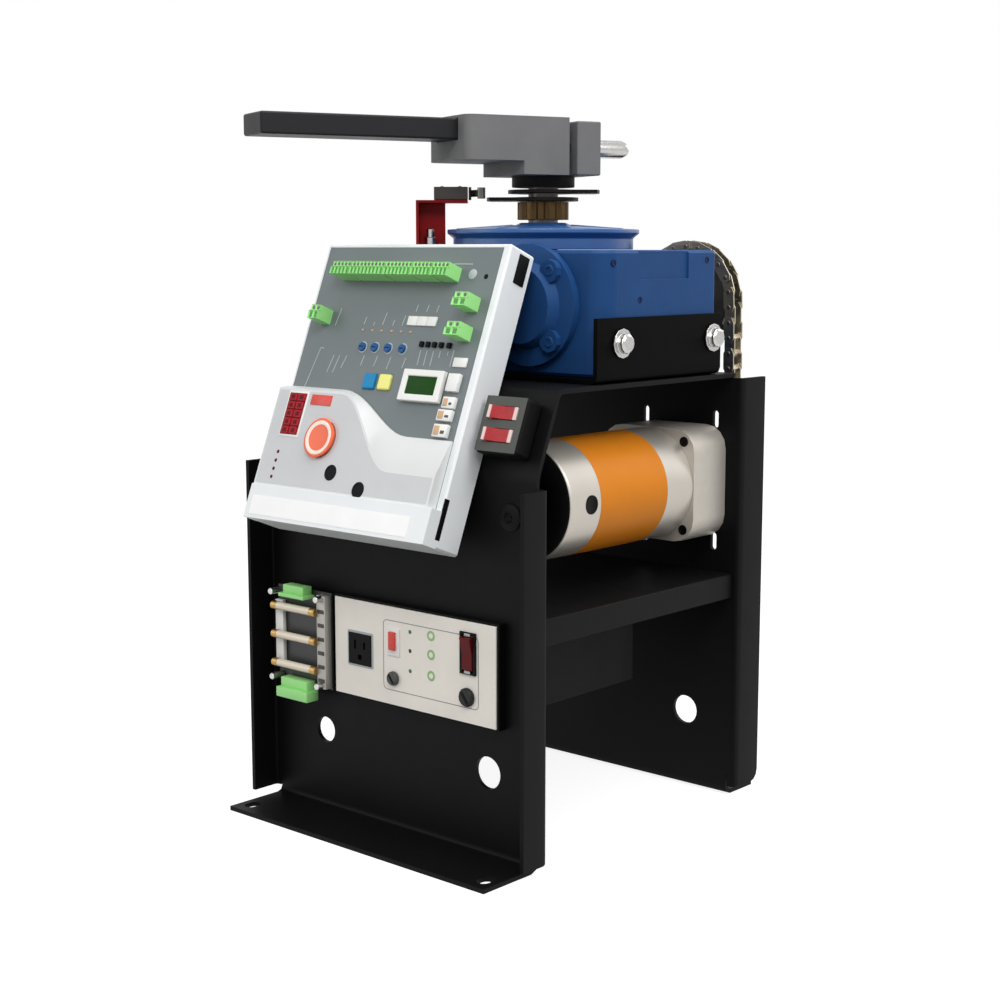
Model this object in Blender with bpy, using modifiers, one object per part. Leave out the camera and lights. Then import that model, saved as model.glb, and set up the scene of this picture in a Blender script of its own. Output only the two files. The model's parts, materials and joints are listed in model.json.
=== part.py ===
"""Chain-driven swing-gate drive.

A motor and a roller chain turn a worm gearbox with an arm, on a sheet-steel chassis.

Metres, +Z up. X runs across the chassis and Y from the front foot to the back.
The origin is the centre of the front foot's underside.
"""

import math

import bmesh
import bpy
from mathutils import Matrix, Vector

# Clearances
FIT = 0.0003
RUN = 0.0012

# Chassis sheet metal
SHEET = 0.0045
BEND = 0.006
FLANGE_BEND = 0.003
CHASSIS_WIDTH = 0.372
CHASSIS_DEPTH = 0.3095
DECK_TOP = 0.441
FOOT_DEPTH = 0.070
REAR_FOOT_DEPTH = 0.045
STRIP_INSET = 0.012
RELIEF_WIDTH = 0.002
RELIEF_TOP = 0.022
FLANGE_FLOOR = 0.010
FRONT_FLANGE = 0.030
FRONT_FLANGE_TOP = 0.354
REAR_FLANGE = 0.037
REAR_FLANGE_CORNER = 0.012
SLANT_BOTTOM = 0.363
SLANT_RUN = 0.031
ANCHOR_SLOT = (0.013, 0.018)
ANCHOR_X = 0.160
ANCHOR_IN = 0.018
CONDUIT_Z = 0.083
LEFT_CONDUIT = (-0.105, 0.013)
RIGHT_CONDUIT = (0.116, 0.0155)
REAR_CONDUIT = (0.1215, 0.015)
CABLE_HOLE = (0.144, 0.326, 0.010)

# Shelf
SHELF_TOP = 0.236
SHELF_LIP = 0.025
SHELF_SHEET = 0.003
SHELF_INSET = 0.008

# Gearbox
SHAFT_X = 0.014
SHAFT_BACK = 0.197
SHAFT_RADIUS = 0.015
CENTRE_DISTANCE = 0.066
WORM_Z = 0.512
WHEEL_TEETH = 30
WHEEL_MODULE = 0.0033333
WHEEL_WIDTH = 0.028
BACKLASH = 0.00035
PRESSURE_ANGLE = math.radians(20.0)
WORM_TURNS = 5
WORM_JOURNAL = 0.010
THREAD_SINK = 1.9
THREAD_STEPS = 10
CORE_DEPTH = 1.2
HOUSING_LEFT = 0.092
HOUSING_RIGHT = 0.086
HOUSING_FRONT = 0.093
HOUSING_REAR = 0.088
HOUSING_TOP = 0.564
HOUSING_EDGE = 0.003
HOUSING_CORNERS = (0.020, 0.020, 0.006, 0.045)
RECESS_DEPTH = 0.002
RECESS_LENGTH = 0.080
RECESS_HEIGHT = 0.026
RECESS_DROP = 0.0015
CHAMBER_RADIUS = 0.058
CHAMBER_FLOOR = 0.472
BEARING_WIDTH = 0.014
WORM_BEARING_RADIUS = 0.026
LOWER_BEARING_RADIUS = 0.030
UPPER_BEARING_RADIUS = 0.026
COVER_RADIUS = 0.091
COVER_RIM = 0.097
COVER_HEIGHT = 0.020
COVER_NECK_TOP = 0.591
COVER_NECK_RADIUS = 0.023
COVER_CONE_RADIUS = 0.030
COVER_CONE_DROP = 0.003
COVER_RIM_EDGE = 0.004
COVER_RIM_TUCK = 0.005
WORM_COVER_RADIUS = 0.058
WORM_COVER_DOME = 0.042
WORM_COVER_FLANGE = 0.008
WORM_COVER_DEPTH = 0.020
WORM_COVER_STEP = 0.002
WORM_COVER_TAPER = 0.006
LUG_CIRCLE = 0.0457
LUG_RADIUS = 0.011
LUG_HEIGHT = 0.007

# Cradle that carries the gearbox on the deck
CRADLE_SHEET = 0.0045
CRADLE_HEIGHT = 0.056
CRADLE_FRONT = 0.089
CRADLE_REAR = 0.287
CRADLE_BOLT_Z = 0.478
CRADLE_BOLT_FRONT = 0.125
CRADLE_BOLT_REAR = 0.272
BOLT_RADIUS = 0.005
BOLT_GRIP = 0.018
WASHER_RADIUS = 0.014
WASHER_THICKNESS = 0.0025
BOLT_HEAD_RADIUS = 0.0095
BOLT_HEAD_HEIGHT = 0.007

# Motor and chain
MOTOR_X = 0.110
MOTOR_RADIUS = 0.0565
MOTOR_FRONT = 0.058
MOTOR_SHAFT_RADIUS = 0.008
CAN_WALL = 0.0035
CAN_END = 0.008
CAN_FRONT = 0.003
CAN_CHAMFER = 0.003
BELL_LENGTH = 0.055
BELL_SIDE = 0.115
BELL_CORNER = 0.024
BELL_WALL = 0.006
ROTOR_RADIUS = 0.046
ROTOR_FRONT = 0.024
ROTOR_TAIL = 0.020
SLOT_X = 0.044
SLOT_Z = 0.063
MOTOR_SLOT = (0.007, 0.018)
CHAIN_PITCH = 0.015875
CHAIN_LINKS = 40
INPUT_TEETH = 22
MOTOR_TEETH = 11
ROLLER_RADIUS = 0.0046
LINK_PLATE = 0.0015
LINK_HEIGHT = 0.0125
INNER_GAP = 0.0095
OUTER_GAP = 0.0137
CHAIN_BACK = 0.360
SPROCKET_WIDTH = 0.007
SPROCKET_HUB = 0.019
INPUT_HUB_RADIUS = 0.024
MOTOR_HUB_RADIUS = 0.0167
TOOTH_REACH = 0.0048

# Arm, clamp and limit cams
ARM_ANGLE = math.radians(-111.4)
ARM_WIDTH = 0.050
ARM_HEIGHT = 0.0205
ARM_REACH = 0.306
ARM_GRIP = 0.040
ARM_EDGE = 0.0015
CLAMP_FLOOR = 0.032
CLAMP_ROOF = 0.0025
CLAMP_HALF_WIDTH = 0.045
CLAMP_CORNER = 0.010
CLAMP_LIP_RISE = 0.013
CLAMP_FRONT = 0.107
CLAMP_STEP = 0.045
CLAMP_SPLIT = -0.005
CAP_SPLIT = -0.014
CAP_BACK = -0.041
CAP_DROP = 0.003
COLLAR_RADIUS = 0.030
COLLAR_BOTTOM = 0.626
COLLAR_HEIGHT = 0.011
HANDLE_SIDE = 0.026
HANDLE_RISE = 0.027
HANDLE_SHANK = 0.005
HANDLE_RADIUS = 0.009
HANDLE_LENGTH = 0.042
HANDLE_ENGAGED = 0.010
HUB_RADIUS = 0.026
HUB_BOTTOM = 0.594
HUB_TOP = 0.6115
HUB_TEETH = 13
HUB_TOOTH = 0.0026
CAM_BASE = 0.036
CAM_LOBE = 0.057
CAM_SHEET = 0.0035
LOWER_CAM_Z = 0.6125
UPPER_CAM_Z = 0.620
LOWER_LOBE = math.radians(218.0)
UPPER_LOBE = math.radians(42.0)
LOBE_SPAN = math.radians(42.0)
LOBE_RAMP = math.radians(14.0)

# Limit switch, on a bracket that points at the output shaft
SWITCH_ANGLE = math.radians(221.7)
BRACKET_IN = 0.076
BRACKET_OUT = 0.128
BRACKET_SHEET = 0.003
BRACKET_WIDTH = 0.024
BRACKET_WEB = 0.029
BRACKET_TOP = 0.6135
SWITCH_LENGTH = 0.034
SWITCH_WIDTH = 0.012
SWITCH_HEIGHT = 0.013
LEVER_ROLLER = 0.004
LEVER_LENGTH = 0.018
LEVER_PIVOT = 0.0015
LEVER_STRIP = 0.0012
LEVER_INSET = 0.003
ROLLER_INSET = 0.001

# Control box, on the slant of the front panel
BOX_LEFT = -0.137
BOX_RIGHT = 0.107
BOX_BOTTOM = -0.080
BOX_TOP = 0.2085
BOX_DEPTH = 0.036
BOX_WALL = 0.004
BOX_EDGE = 0.002
LEDGE_TOP = -0.046
LEDGE_DEPTH = 0.014
FACE_SHEET = 0.0025
COVER_DEPTH = 0.012
COVER_LIP = 0.003
COVER_CREST = 0.058
COVER_VALLEY = 0.018
CREST_SLOPE = 0.005
VALLEY_SLOPE = 0.035
S_LEFT = -0.054
S_RIGHT = 0.042
S_TUCK = 0.008
S_POINTS = 12
LCD_CENTRE = (0.0455, 0.067)
LCD_SIZE = (0.0515, 0.006, 0.0305)
LCD_WINDOW = (0.0375, 0.0175)
LCD_WINDOW_DEPTH = 0.002
KEY_SIZE = 0.0155
BLUE_KEY = (-0.027, 0.0688)
YELLOW_KEY = (-0.0065, 0.0688)
KEY_PROUD = 0.003
KEY_LENGTH = 0.012
KEY_EDGE = 0.0012
STOP_CENTRE = (-0.0585, 0.0055)
STOP_RADIUS = 0.018
STOP_PROUD = 0.005
STOP_SUNK = 0.006
STOP_EDGE = 0.0015
STOP_DISH = 0.001
STOP_FLOOR = 0.002
TERMINAL_ROW = (-0.1025, 0.0535)
TERMINAL_ROW_Z = 0.1767
TERMINAL_WAYS = (5, 9, 7, 5, 4)
TERMINAL_HEIGHT = 0.0135
TERMINAL_DEPTH = 0.020
TERMINAL_GAP = 0.0018
TERMINAL_BASE = 0.003
SIDE_TERMINAL_X = 0.0788
SIDE_TERMINAL_WIDTH = 0.0165
UPPER_TERMINAL_Z = 0.148
LOWER_TERMINAL_Z = 0.1195

# Rocker box beside the control box
ROCKER_BOX_CENTRE = (0.137, 0.042)
ROCKER_BOX_SIZE = (0.050, 0.022, 0.054)
ROCKER_LENGTH = 0.032
ROCKER_WIDTH = 0.012
ROCKER_OFFSET = 0.0105
ROCKER_TILT = math.radians(7.0)
ROCKER_DEPTH = 0.003
ROCKER_DISH = 0.35
ROCKER_BOX_EDGE = 0.003

# Power panel and its box
POWER_LEFT = -0.076
POWER_RIGHT = 0.137
POWER_BOTTOM = 0.1305
POWER_TOP = 0.2265
POWER_PROUD = 0.010
POWER_SHEET = 0.002
POWER_FRAME = 0.002
POWER_BODY_INSET = 0.010
POWER_BODY_BACK = 0.206
POWER_WALL = 0.0025
OUTLET_CENTRE = (-0.040, 0.1785)
OUTLET_SIDE = 0.031
OUTLET_DEPTH = 0.026
OUTLET_PROUD = 0.0015
OUTLET_HOLES = (
    (-0.0064, 0.004, 0.0025, 0.009),
    (0.0064, 0.004, 0.0025, 0.007),
    (0.0, -0.008, 0.005, 0.005),
)
OUTLET_HOLE_DEPTH = 0.010
SWITCH_CENTRE = (0.1037, 0.197)
SWITCH_FRAME = (0.020, 0.040)
SWITCH_LIP = 0.002
SWITCH_NECK_INSET = 0.0015
SWITCH_NECK_DEPTH = 0.018
SWITCH_ROOM = 0.008
POWER_ROCKER_LENGTH = 0.031
POWER_ROCKER_WIDTH = 0.0125
LEFT_FUSE = (0.0062, 0.1572, 0.007)
RIGHT_FUSE = (0.1023, 0.1554, 0.009)
FUSE_DEPTH = 0.024
FUSE_NECK = 0.7
FUSE_CAP = 0.005
FUSE_CAP_EDGE = 0.003

# Surge module, beside the power panel
SURGE_LEFT = -0.160
SURGE_RIGHT = -0.081
SURGE_BOTTOM = 0.130
SURGE_TOP = 0.228
SURGE_STANDOFF = 0.010
SURGE_SHEET = 0.002
SURGE_PEG = 0.003
SURGE_PEG_LENGTH = 0.028
SURGE_PEG_INSET = 0.005
SURGE_RAIL = 0.011
SURGE_RAIL_DEPTH = 0.004
SURGE_STRIP = 0.013
SURGE_STRIP_DEPTH = 0.008
SURGE_STRIP_INSET = 0.002
TUBE_RADIUS = 0.0045
TUBE_CAP = 0.008
TUBE_WAIST = 0.82
TUBE_HEIGHTS = (0.208, 0.1785, 0.149)
TOP_PLUG = (-0.1425, -0.1055, 0.220, 0.232)
BOTTOM_PLUG = (-0.148, -0.102, 0.116, 0.136)
PLUG_DEPTH = 0.016

# Places worked out from the sizes above
FRONT_Y = FOOT_DEPTH / 2
BACK_Y = FRONT_Y + CHASSIS_DEPTH
SHAFT_Y = FRONT_Y + SHAFT_BACK
WORM_X = SHAFT_X + CENTRE_DISTANCE
CHAIN_Y = FRONT_Y + CHAIN_BACK
SLANT_TILT = math.atan2(SLANT_RUN, DECK_TOP - SLANT_BOTTOM)
CRADLE_FLOOR = DECK_TOP + FIT + CRADLE_SHEET
HOUSING_BOTTOM = CRADLE_FLOOR + FIT
WHEEL_RADIUS = WHEEL_TEETH * WHEEL_MODULE / 2
WORM_RADIUS = CENTRE_DISTANCE - WHEEL_RADIUS
WORM_LEAD = math.pi * WHEEL_MODULE
INPUT_RADIUS = INPUT_TEETH * CHAIN_PITCH / (2 * math.pi)
DRIVE_RADIUS = MOTOR_TEETH * CHAIN_PITCH / (2 * math.pi)
CLAMP_BOTTOM = COLLAR_BOTTOM + COLLAR_HEIGHT
ARM_SEAT = CLAMP_BOTTOM + CLAMP_FLOOR
CLAMP_TOP = ARM_SEAT + ARM_HEIGHT + 2 * FIT + CLAMP_ROOF
HANDLE_Z = CLAMP_BOTTOM + HANDLE_RISE
TURN_X = (0.0, math.pi / 2, 0.0)
TURN_Y = (-math.pi / 2, 0.0, 0.0)

# Finishes: colour, roughness, metallic
BLACK_STEEL = ((0.012, 0.012, 0.013), 0.45, 0.0)
BLUE_PAINT = ((0.030, 0.085, 0.270), 0.40, 0.0)
GREY_CAST = ((0.090, 0.090, 0.095), 0.50, 0.3)
BRIGHT_STEEL = ((0.60, 0.60, 0.62), 0.25, 1.0)
DARK_STEEL = ((0.10, 0.10, 0.11), 0.40, 1.0)
BRONZE = ((0.35, 0.22, 0.10), 0.35, 1.0)
RED_STEEL = ((0.35, 0.015, 0.015), 0.40, 0.0)
MOTOR_STEEL = ((0.42, 0.40, 0.38), 0.35, 0.8)
BELL_METAL = ((0.40, 0.39, 0.37), 0.45, 0.6)
SILVER_PLASTIC = ((0.62, 0.64, 0.66), 0.40, 0.0)
FACE_GREY = ((0.16, 0.18, 0.19), 0.50, 0.0)
PALE_PANEL = ((0.62, 0.61, 0.58), 0.45, 0.0)
BLACK_PLASTIC = ((0.015, 0.015, 0.016), 0.40, 0.0)
TERMINAL_GREEN = ((0.10, 0.55, 0.08), 0.40, 0.0)
STOP_ORANGE = ((0.85, 0.20, 0.03), 0.40, 0.0)
KEY_BLUE = ((0.02, 0.28, 0.70), 0.40, 0.0)
KEY_YELLOW = ((0.85, 0.75, 0.08), 0.40, 0.0)
ROCKER_RED = ((0.50, 0.03, 0.03), 0.30, 0.0)
WHITE_PLASTIC = ((0.80, 0.80, 0.80), 0.40, 0.0)
CERAMIC = ((0.75, 0.66, 0.52), 0.45, 0.0)


def clear_scene():
    for obj in list(bpy.data.objects):
        bpy.data.objects.remove(obj, do_unlink=True)


def new_collection(name):
    collection = bpy.data.collections.new(name)
    bpy.context.scene.collection.children.link(collection)
    return collection


clear_scene()
PARTS = new_collection("gate_drive")
CUTTERS = new_collection("gate_drive_cutters")


def finish(name, look):
    """A material of its own for one piece."""
    colour, roughness, metallic = look
    material = bpy.data.materials.new(name)
    material.use_nodes = True
    shader = material.node_tree.nodes["Principled BSDF"]
    shader.inputs["Base Color"].default_value = (*colour, 1.0)
    shader.inputs["Roughness"].default_value = roughness
    shader.inputs["Metallic"].default_value = metallic
    return material


def piece(name, mesh, look, location=(0, 0, 0), rotation=(0, 0, 0), parent=None):
    """Puts a mesh in the scene as one named piece."""
    mesh.name = name
    mesh.materials.clear()
    mesh.materials.append(finish(name, look))
    mesh.shade_smooth()
    mesh.set_sharp_from_angle(angle=math.radians(35))
    obj = bpy.data.objects.new(name, mesh)
    obj.location = location
    obj.rotation_euler = rotation
    obj.parent = parent
    PARTS.objects.link(obj)
    return obj


def helper(mesh, location=(0, 0, 0), rotation=(0, 0, 0), parent=None):
    """A cutter or an added form that a Boolean uses."""
    obj = bpy.data.objects.new("helper", mesh)
    obj.location = location
    obj.rotation_euler = rotation
    obj.parent = parent
    obj.hide_render = True
    obj.display_type = "WIRE"
    CUTTERS.objects.link(obj)
    return obj


def pivot(name, location, rotation=(0, 0, 0)):
    """An empty that carries the pieces of a turned or tilted group."""
    empty = bpy.data.objects.new(name, None)
    empty.location = location
    empty.rotation_euler = rotation
    PARTS.objects.link(empty)
    return empty


def boolean(obj, other, operation):
    modifier = obj.modifiers.new(operation.lower(), "BOOLEAN")
    modifier.operation = operation
    modifier.object = other
    modifier.solver = "EXACT"
    return modifier


def cut(obj, other):
    return boolean(obj, other, "DIFFERENCE")


def join(obj, other):
    return boolean(obj, other, "UNION")


def round_edges(obj, width, segments=1):
    modifier = obj.modifiers.new("round", "BEVEL")
    modifier.width = width
    modifier.segments = segments
    modifier.use_clamp_overlap = False
    modifier.limit_method = "ANGLE"
    modifier.angle_limit = math.radians(40)


def mesh_from(bm):
    mesh = bpy.data.meshes.new("shape")
    bm.to_mesh(mesh)
    bm.free()
    return mesh


def block(size, centre=(0, 0, 0)):
    bm = bmesh.new()
    bmesh.ops.create_cube(bm, size=1.0)
    bmesh.ops.scale(bm, vec=size, verts=bm.verts)
    bmesh.ops.translate(bm, vec=centre, verts=bm.verts)
    return mesh_from(bm)


def span(low, high):
    """A block between two corners."""
    low, high = Vector(low), Vector(high)
    return block(high - low, (low + high) / 2)


def rod(radius, start, end, segments=24):
    """A cylinder along Z."""
    bm = bmesh.new()
    bmesh.ops.create_cone(
        bm, cap_ends=True, segments=segments, radius1=radius, radius2=radius, depth=end - start
    )
    bmesh.ops.translate(bm, vec=(0, 0, (start + end) / 2), verts=bm.verts)
    return mesh_from(bm)


def outline(points, thickness, base=0.0):
    """A flat outline in XY, filled and given a thickness up from base."""
    curve = bpy.data.curves.new("outline", "CURVE")
    curve.dimensions = "2D"
    curve.fill_mode = "BOTH"
    curve.extrude = thickness / 2
    spline = curve.splines.new("POLY")
    spline.points.add(len(points) - 1)
    spline.use_cyclic_u = True
    for target, (x, y) in zip(spline.points, points):
        target.co = (x, y, 0.0, 1.0)
    drawn = bpy.data.objects.new("outline", curve)
    bpy.context.scene.collection.objects.link(drawn)
    bpy.context.view_layer.update()
    graph = bpy.context.evaluated_depsgraph_get()
    mesh = bpy.data.meshes.new_from_object(drawn.evaluated_get(graph))
    bpy.data.objects.remove(drawn)
    bm = bmesh.new()
    bm.from_mesh(mesh)
    bmesh.ops.remove_doubles(bm, verts=bm.verts, dist=1e-6)
    bmesh.ops.recalc_face_normals(bm, faces=bm.faces)
    bmesh.ops.dissolve_limit(bm, angle_limit=0.01, verts=bm.verts[:], edges=bm.edges[:])
    bmesh.ops.translate(bm, vec=(0, 0, base + thickness / 2), verts=bm.verts)
    bm.to_mesh(mesh)
    bm.free()
    return mesh


def turned(mesh, rotation):
    """A mesh with a turn applied to its points."""
    for axis, angle in zip("XYZ", rotation):
        mesh.transform(Matrix.Rotation(angle, 4, axis))
    return mesh


def revolve(name, profile, look, steps, location=(0, 0, 0), rotation=(0, 0, 0), parent=None):
    """A turned piece: a closed profile of (radius, height), swept round Z by a Screw modifier."""
    bm = bmesh.new()
    points = [bm.verts.new((radius, 0.0, height)) for radius, height in profile]
    for start, end in zip(points, points[1:] + points[:1]):
        if max(start.co.x, end.co.x) > 0:
            bm.edges.new((start, end))
    obj = piece(name, mesh_from(bm), look, location, rotation, parent)
    screw = obj.modifiers.new("turn", "SCREW")
    screw.axis = "Z"
    screw.angle = 2 * math.pi
    screw.steps = steps
    screw.render_steps = steps
    screw.use_merge_vertices = True
    screw.merge_threshold = 1e-6
    screw.use_smooth_shade = True
    return obj


def ring(name, inner, outer, start, end, look, steps=24, location=(0, 0, 0), rotation=(0, 0, 0)):
    profile = [(outer, end), (outer, start), (inner, start), (inner, end)]
    return revolve(name, profile, look, steps, location, rotation)


def arc(centre, radius, start, end, steps):
    """Points along an arc, both ends included."""
    angles = [start + (end - start) * k / steps for k in range(steps + 1)]
    return [(centre[0] + radius * math.cos(a), centre[1] + radius * math.sin(a)) for a in angles]


def rounded_rectangle(left, bottom, right, top, radii, steps=4):
    """Corner radii run from the lower left, anticlockwise."""
    signs = ((left, bottom, 1, 1), (right, bottom, -1, 1), (right, top, -1, -1), (left, top, 1, -1))
    points = []
    for k, ((x, y, sx, sy), radius) in enumerate(zip(signs, radii)):
        centre = (x + sx * radius, y + sy * radius)
        start = math.pi * (1 + k / 2)
        points += arc(centre, radius, start, start + math.pi / 2, steps)
    return points


def slot_outline(width, height, steps=3):
    """A slot with round ends, its long side the larger size."""
    radius = min(width, height) / 2
    return rounded_rectangle(-width / 2, -height / 2, width / 2, height / 2, [radius * 0.98] * 4, steps)


def fold(bm, edges, vector):
    """Extrudes the edges of a sheet. Gives the far edges and the edges along its sides."""
    grown = bmesh.ops.extrude_edge_only(bm, edges=edges)["geom"]
    points = [item for item in grown if isinstance(item, bmesh.types.BMVert)]
    bmesh.ops.translate(bm, vec=vector, verts=points)
    new = set(points)
    lines = [item for item in grown if isinstance(item, bmesh.types.BMEdge)]
    far = [line for line in lines if set(line.verts) <= new]
    sides = [line for point in points for line in point.link_edges if len(set(line.verts) & new) == 1]
    return far, sides


def outermost(edges):
    return max(edges, key=lambda line: sum(point.co.x for point in line.verts))


def lowermost(edges):
    return min(edges, key=lambda line: sum(point.co.z for point in line.verts))


def bend(bm, edges, radius):
    bmesh.ops.bevel(
        bm, geom=edges, offset=radius, offset_type="OFFSET", segments=2, profile=0.5, affect="EDGES",
        material=-1,
    )


def sheet_piece(name, bm, facing, thickness, look):
    """Half a bent sheet, mirrored in X and made solid behind the face that looks along facing."""
    bmesh.ops.recalc_face_normals(bm, faces=bm.faces)
    widest = max(bm.faces, key=lambda face: face.calc_area())
    if widest.normal.dot(Vector(facing)) < 0:
        bmesh.ops.reverse_faces(bm, faces=bm.faces)
    obj = piece(name, mesh_from(bm), look)
    mirror = obj.modifiers.new("other_half", "MIRROR")
    mirror.merge_threshold = 1e-5
    solid = obj.modifiers.new("thickness", "SOLIDIFY")
    solid.thickness = thickness
    solid.offset = -1.0
    solid.use_even_offset = True
    return obj


def side_flange(bm, root, depth, floor_drop):
    """A flange bent from the side of a panel, with a relief notch above the foot."""
    step, _ = fold(bm, [root], (RELIEF_WIDTH, 0, 0))
    reach = STRIP_INSET - RELIEF_WIDTH - SHEET
    corner, web_sides = fold(bm, step, (reach, 0, 0))
    tip, flange_sides = fold(bm, corner, (0, depth, 0))
    lowest = [lowermost(lines) for lines in (web_sides, flange_sides)]
    fold(bm, lowest, (0, 0, -floor_drop))
    bend_edges = [
        line
        for line in bm.edges
        if len(line.link_faces) == 2
        and abs(line.link_faces[0].normal.dot(line.link_faces[1].normal)) < 0.5
        and all(abs(point.co.x - (CHASSIS_WIDTH / 2 - SHEET)) < 1e-6 for point in line.verts)
    ]
    return bend_edges, tip


def front_panel():
    half = CHASSIS_WIDTH / 2 - STRIP_INSET
    bm = bmesh.new()
    ends = [bm.verts.new((x, FRONT_Y - FOOT_DEPTH, SHEET)) for x in (0, half)]
    foot_edge = [bm.edges.new(ends)]
    foot_bend, _ = fold(bm, foot_edge, (0, FOOT_DEPTH, 0))
    relief, _ = fold(bm, foot_bend, (0, 0, RELIEF_TOP - SHEET))
    wing_top, sides = fold(bm, relief, (0, 0, FRONT_FLANGE_TOP - RELIEF_TOP))
    slant_bend, _ = fold(bm, wing_top, (0, 0, SLANT_BOTTOM - FRONT_FLANGE_TOP))
    deck_bend, _ = fold(bm, slant_bend, (0, SLANT_RUN, DECK_TOP - SLANT_BOTTOM))
    fold(bm, deck_bend, (0, CHASSIS_DEPTH - SLANT_RUN, 0))
    bm.normal_update()
    flange_bends, _ = side_flange(bm, outermost(sides), -FRONT_FLANGE, RELIEF_TOP - FLANGE_FLOOR)
    bm.normal_update()
    bend(bm, foot_bend + slant_bend + deck_bend, BEND)
    bend(bm, [line for line in flange_bends if line.is_valid], FLANGE_BEND)
    obj = sheet_piece("front_panel", bm, (0, -1, 0), SHEET, BLACK_STEEL)
    for x in (-ANCHOR_X, ANCHOR_X):
        slot = outline(slot_outline(*ANCHOR_SLOT), 4 * SHEET, -SHEET)
        cut(obj, helper(slot, (x, FRONT_Y - FOOT_DEPTH + ANCHOR_IN, 0)))
    holes = [(x, CONDUIT_Z, radius) for x, radius in (LEFT_CONDUIT, RIGHT_CONDUIT)] + [CABLE_HOLE]
    for x, z, radius in holes:
        cut(obj, helper(rod(radius, -SHEET, 2 * SHEET), (x, FRONT_Y, z), TURN_Y))
    low, high = power_body_corners()
    window = span(
        (low[0] - FIT, FRONT_Y - SHEET, low[2] - FIT),
        (high[0] + FIT, FRONT_Y + 2 * SHEET, high[2] + FIT),
    )
    cut(obj, helper(window))
    return obj


def back_panel():
    half = CHASSIS_WIDTH / 2 - STRIP_INSET
    top = DECK_TOP - SHEET - FIT
    bm = bmesh.new()
    ends = [bm.verts.new((x, BACK_Y + REAR_FOOT_DEPTH, SHEET)) for x in (0, half)]
    foot_edge = [bm.edges.new(ends)]
    foot_bend, _ = fold(bm, foot_edge, (0, -REAR_FOOT_DEPTH, 0))
    relief, _ = fold(bm, foot_bend, (0, 0, RELIEF_TOP - SHEET))
    _, sides = fold(bm, relief, (0, 0, top - RELIEF_TOP))
    bm.normal_update()
    flange_bends, _ = side_flange(bm, outermost(sides), REAR_FLANGE, RELIEF_TOP - FLANGE_FLOOR)
    bm.normal_update()
    bend(bm, foot_bend, BEND)
    bend(bm, [line for line in flange_bends if line.is_valid], FLANGE_BEND)
    flange_tip = [point for point in bm.verts if point.co.y > BACK_Y + REAR_FLANGE - 1e-6]
    free_corner = [point for point in flange_tip if abs(point.co.z - FLANGE_FLOOR) < 1e-6]
    bmesh.ops.bevel(
        bm, geom=free_corner, offset=REAR_FLANGE_CORNER, offset_type="OFFSET", segments=3, profile=0.5,
        affect="VERTICES", material=-1, clamp_overlap=True,
    )
    obj = sheet_piece("back_panel", bm, (0, 1, 0), SHEET, BLACK_STEEL)
    x, radius = REAR_CONDUIT
    cut(obj, helper(rod(radius, -2 * SHEET, SHEET), (x, BACK_Y, CONDUIT_Z), TURN_Y))
    shaft_hole = rod(MOTOR_SHAFT_RADIUS + 4 * RUN, -2 * SHEET, SHEET)
    cut(obj, helper(shaft_hole, (MOTOR_X, BACK_Y, motor_z()), TURN_Y))
    for side in (-1, 1):
        for up in (-1, 1):
            slot = turned(outline(slot_outline(*MOTOR_SLOT), 4 * SHEET, -2 * SHEET), (math.pi / 2, 0, 0))
            cut(obj, helper(slot, (MOTOR_X + side * SLOT_X, BACK_Y, motor_z() + up * SLOT_Z)))
    return obj


def shelf():
    half = CHASSIS_WIDTH / 2 - SHELF_INSET
    front, back = FRONT_Y + SHEET + FIT, BACK_Y - SHEET - FIT
    bm = bmesh.new()
    ends = [bm.verts.new((0, y, SHELF_TOP)) for y in (front, back)]
    edge, _ = fold(bm, [bm.edges.new(ends)], (half, 0, 0))
    fold(bm, edge, (0, 0, -SHELF_LIP))
    bend(bm, edge, FLANGE_BEND)
    return sheet_piece("shelf", bm, (0, 0, 1), SHELF_SHEET, BLACK_STEEL)


def gearbox_cradle():
    half = (HOUSING_LEFT + CENTRE_DISTANCE + HOUSING_RIGHT) / 2 + FIT
    middle = SHAFT_X - HOUSING_LEFT - FIT + half
    bm = bmesh.new()
    ends = [bm.verts.new((0, FRONT_Y + y, CRADLE_FLOOR)) for y in (CRADLE_FRONT, CRADLE_REAR)]
    edge, _ = fold(bm, [bm.edges.new(ends)], (half, 0, 0))
    fold(bm, edge, (0, 0, CRADLE_HEIGHT))
    bend(bm, edge, HOUSING_EDGE)
    obj = sheet_piece("gearbox_cradle", bm, (0, 0, 1), CRADLE_SHEET, BLACK_STEEL)
    obj.location.x = middle
    for y in (CRADLE_BOLT_FRONT, CRADLE_BOLT_REAR):
        hole = rod(BOLT_RADIUS + FIT, -half - 2 * CRADLE_SHEET, half + 2 * CRADLE_SHEET, 16)
        cut(obj, helper(hole, (middle, FRONT_Y + y, CRADLE_BOLT_Z), TURN_X))
    return obj


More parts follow.
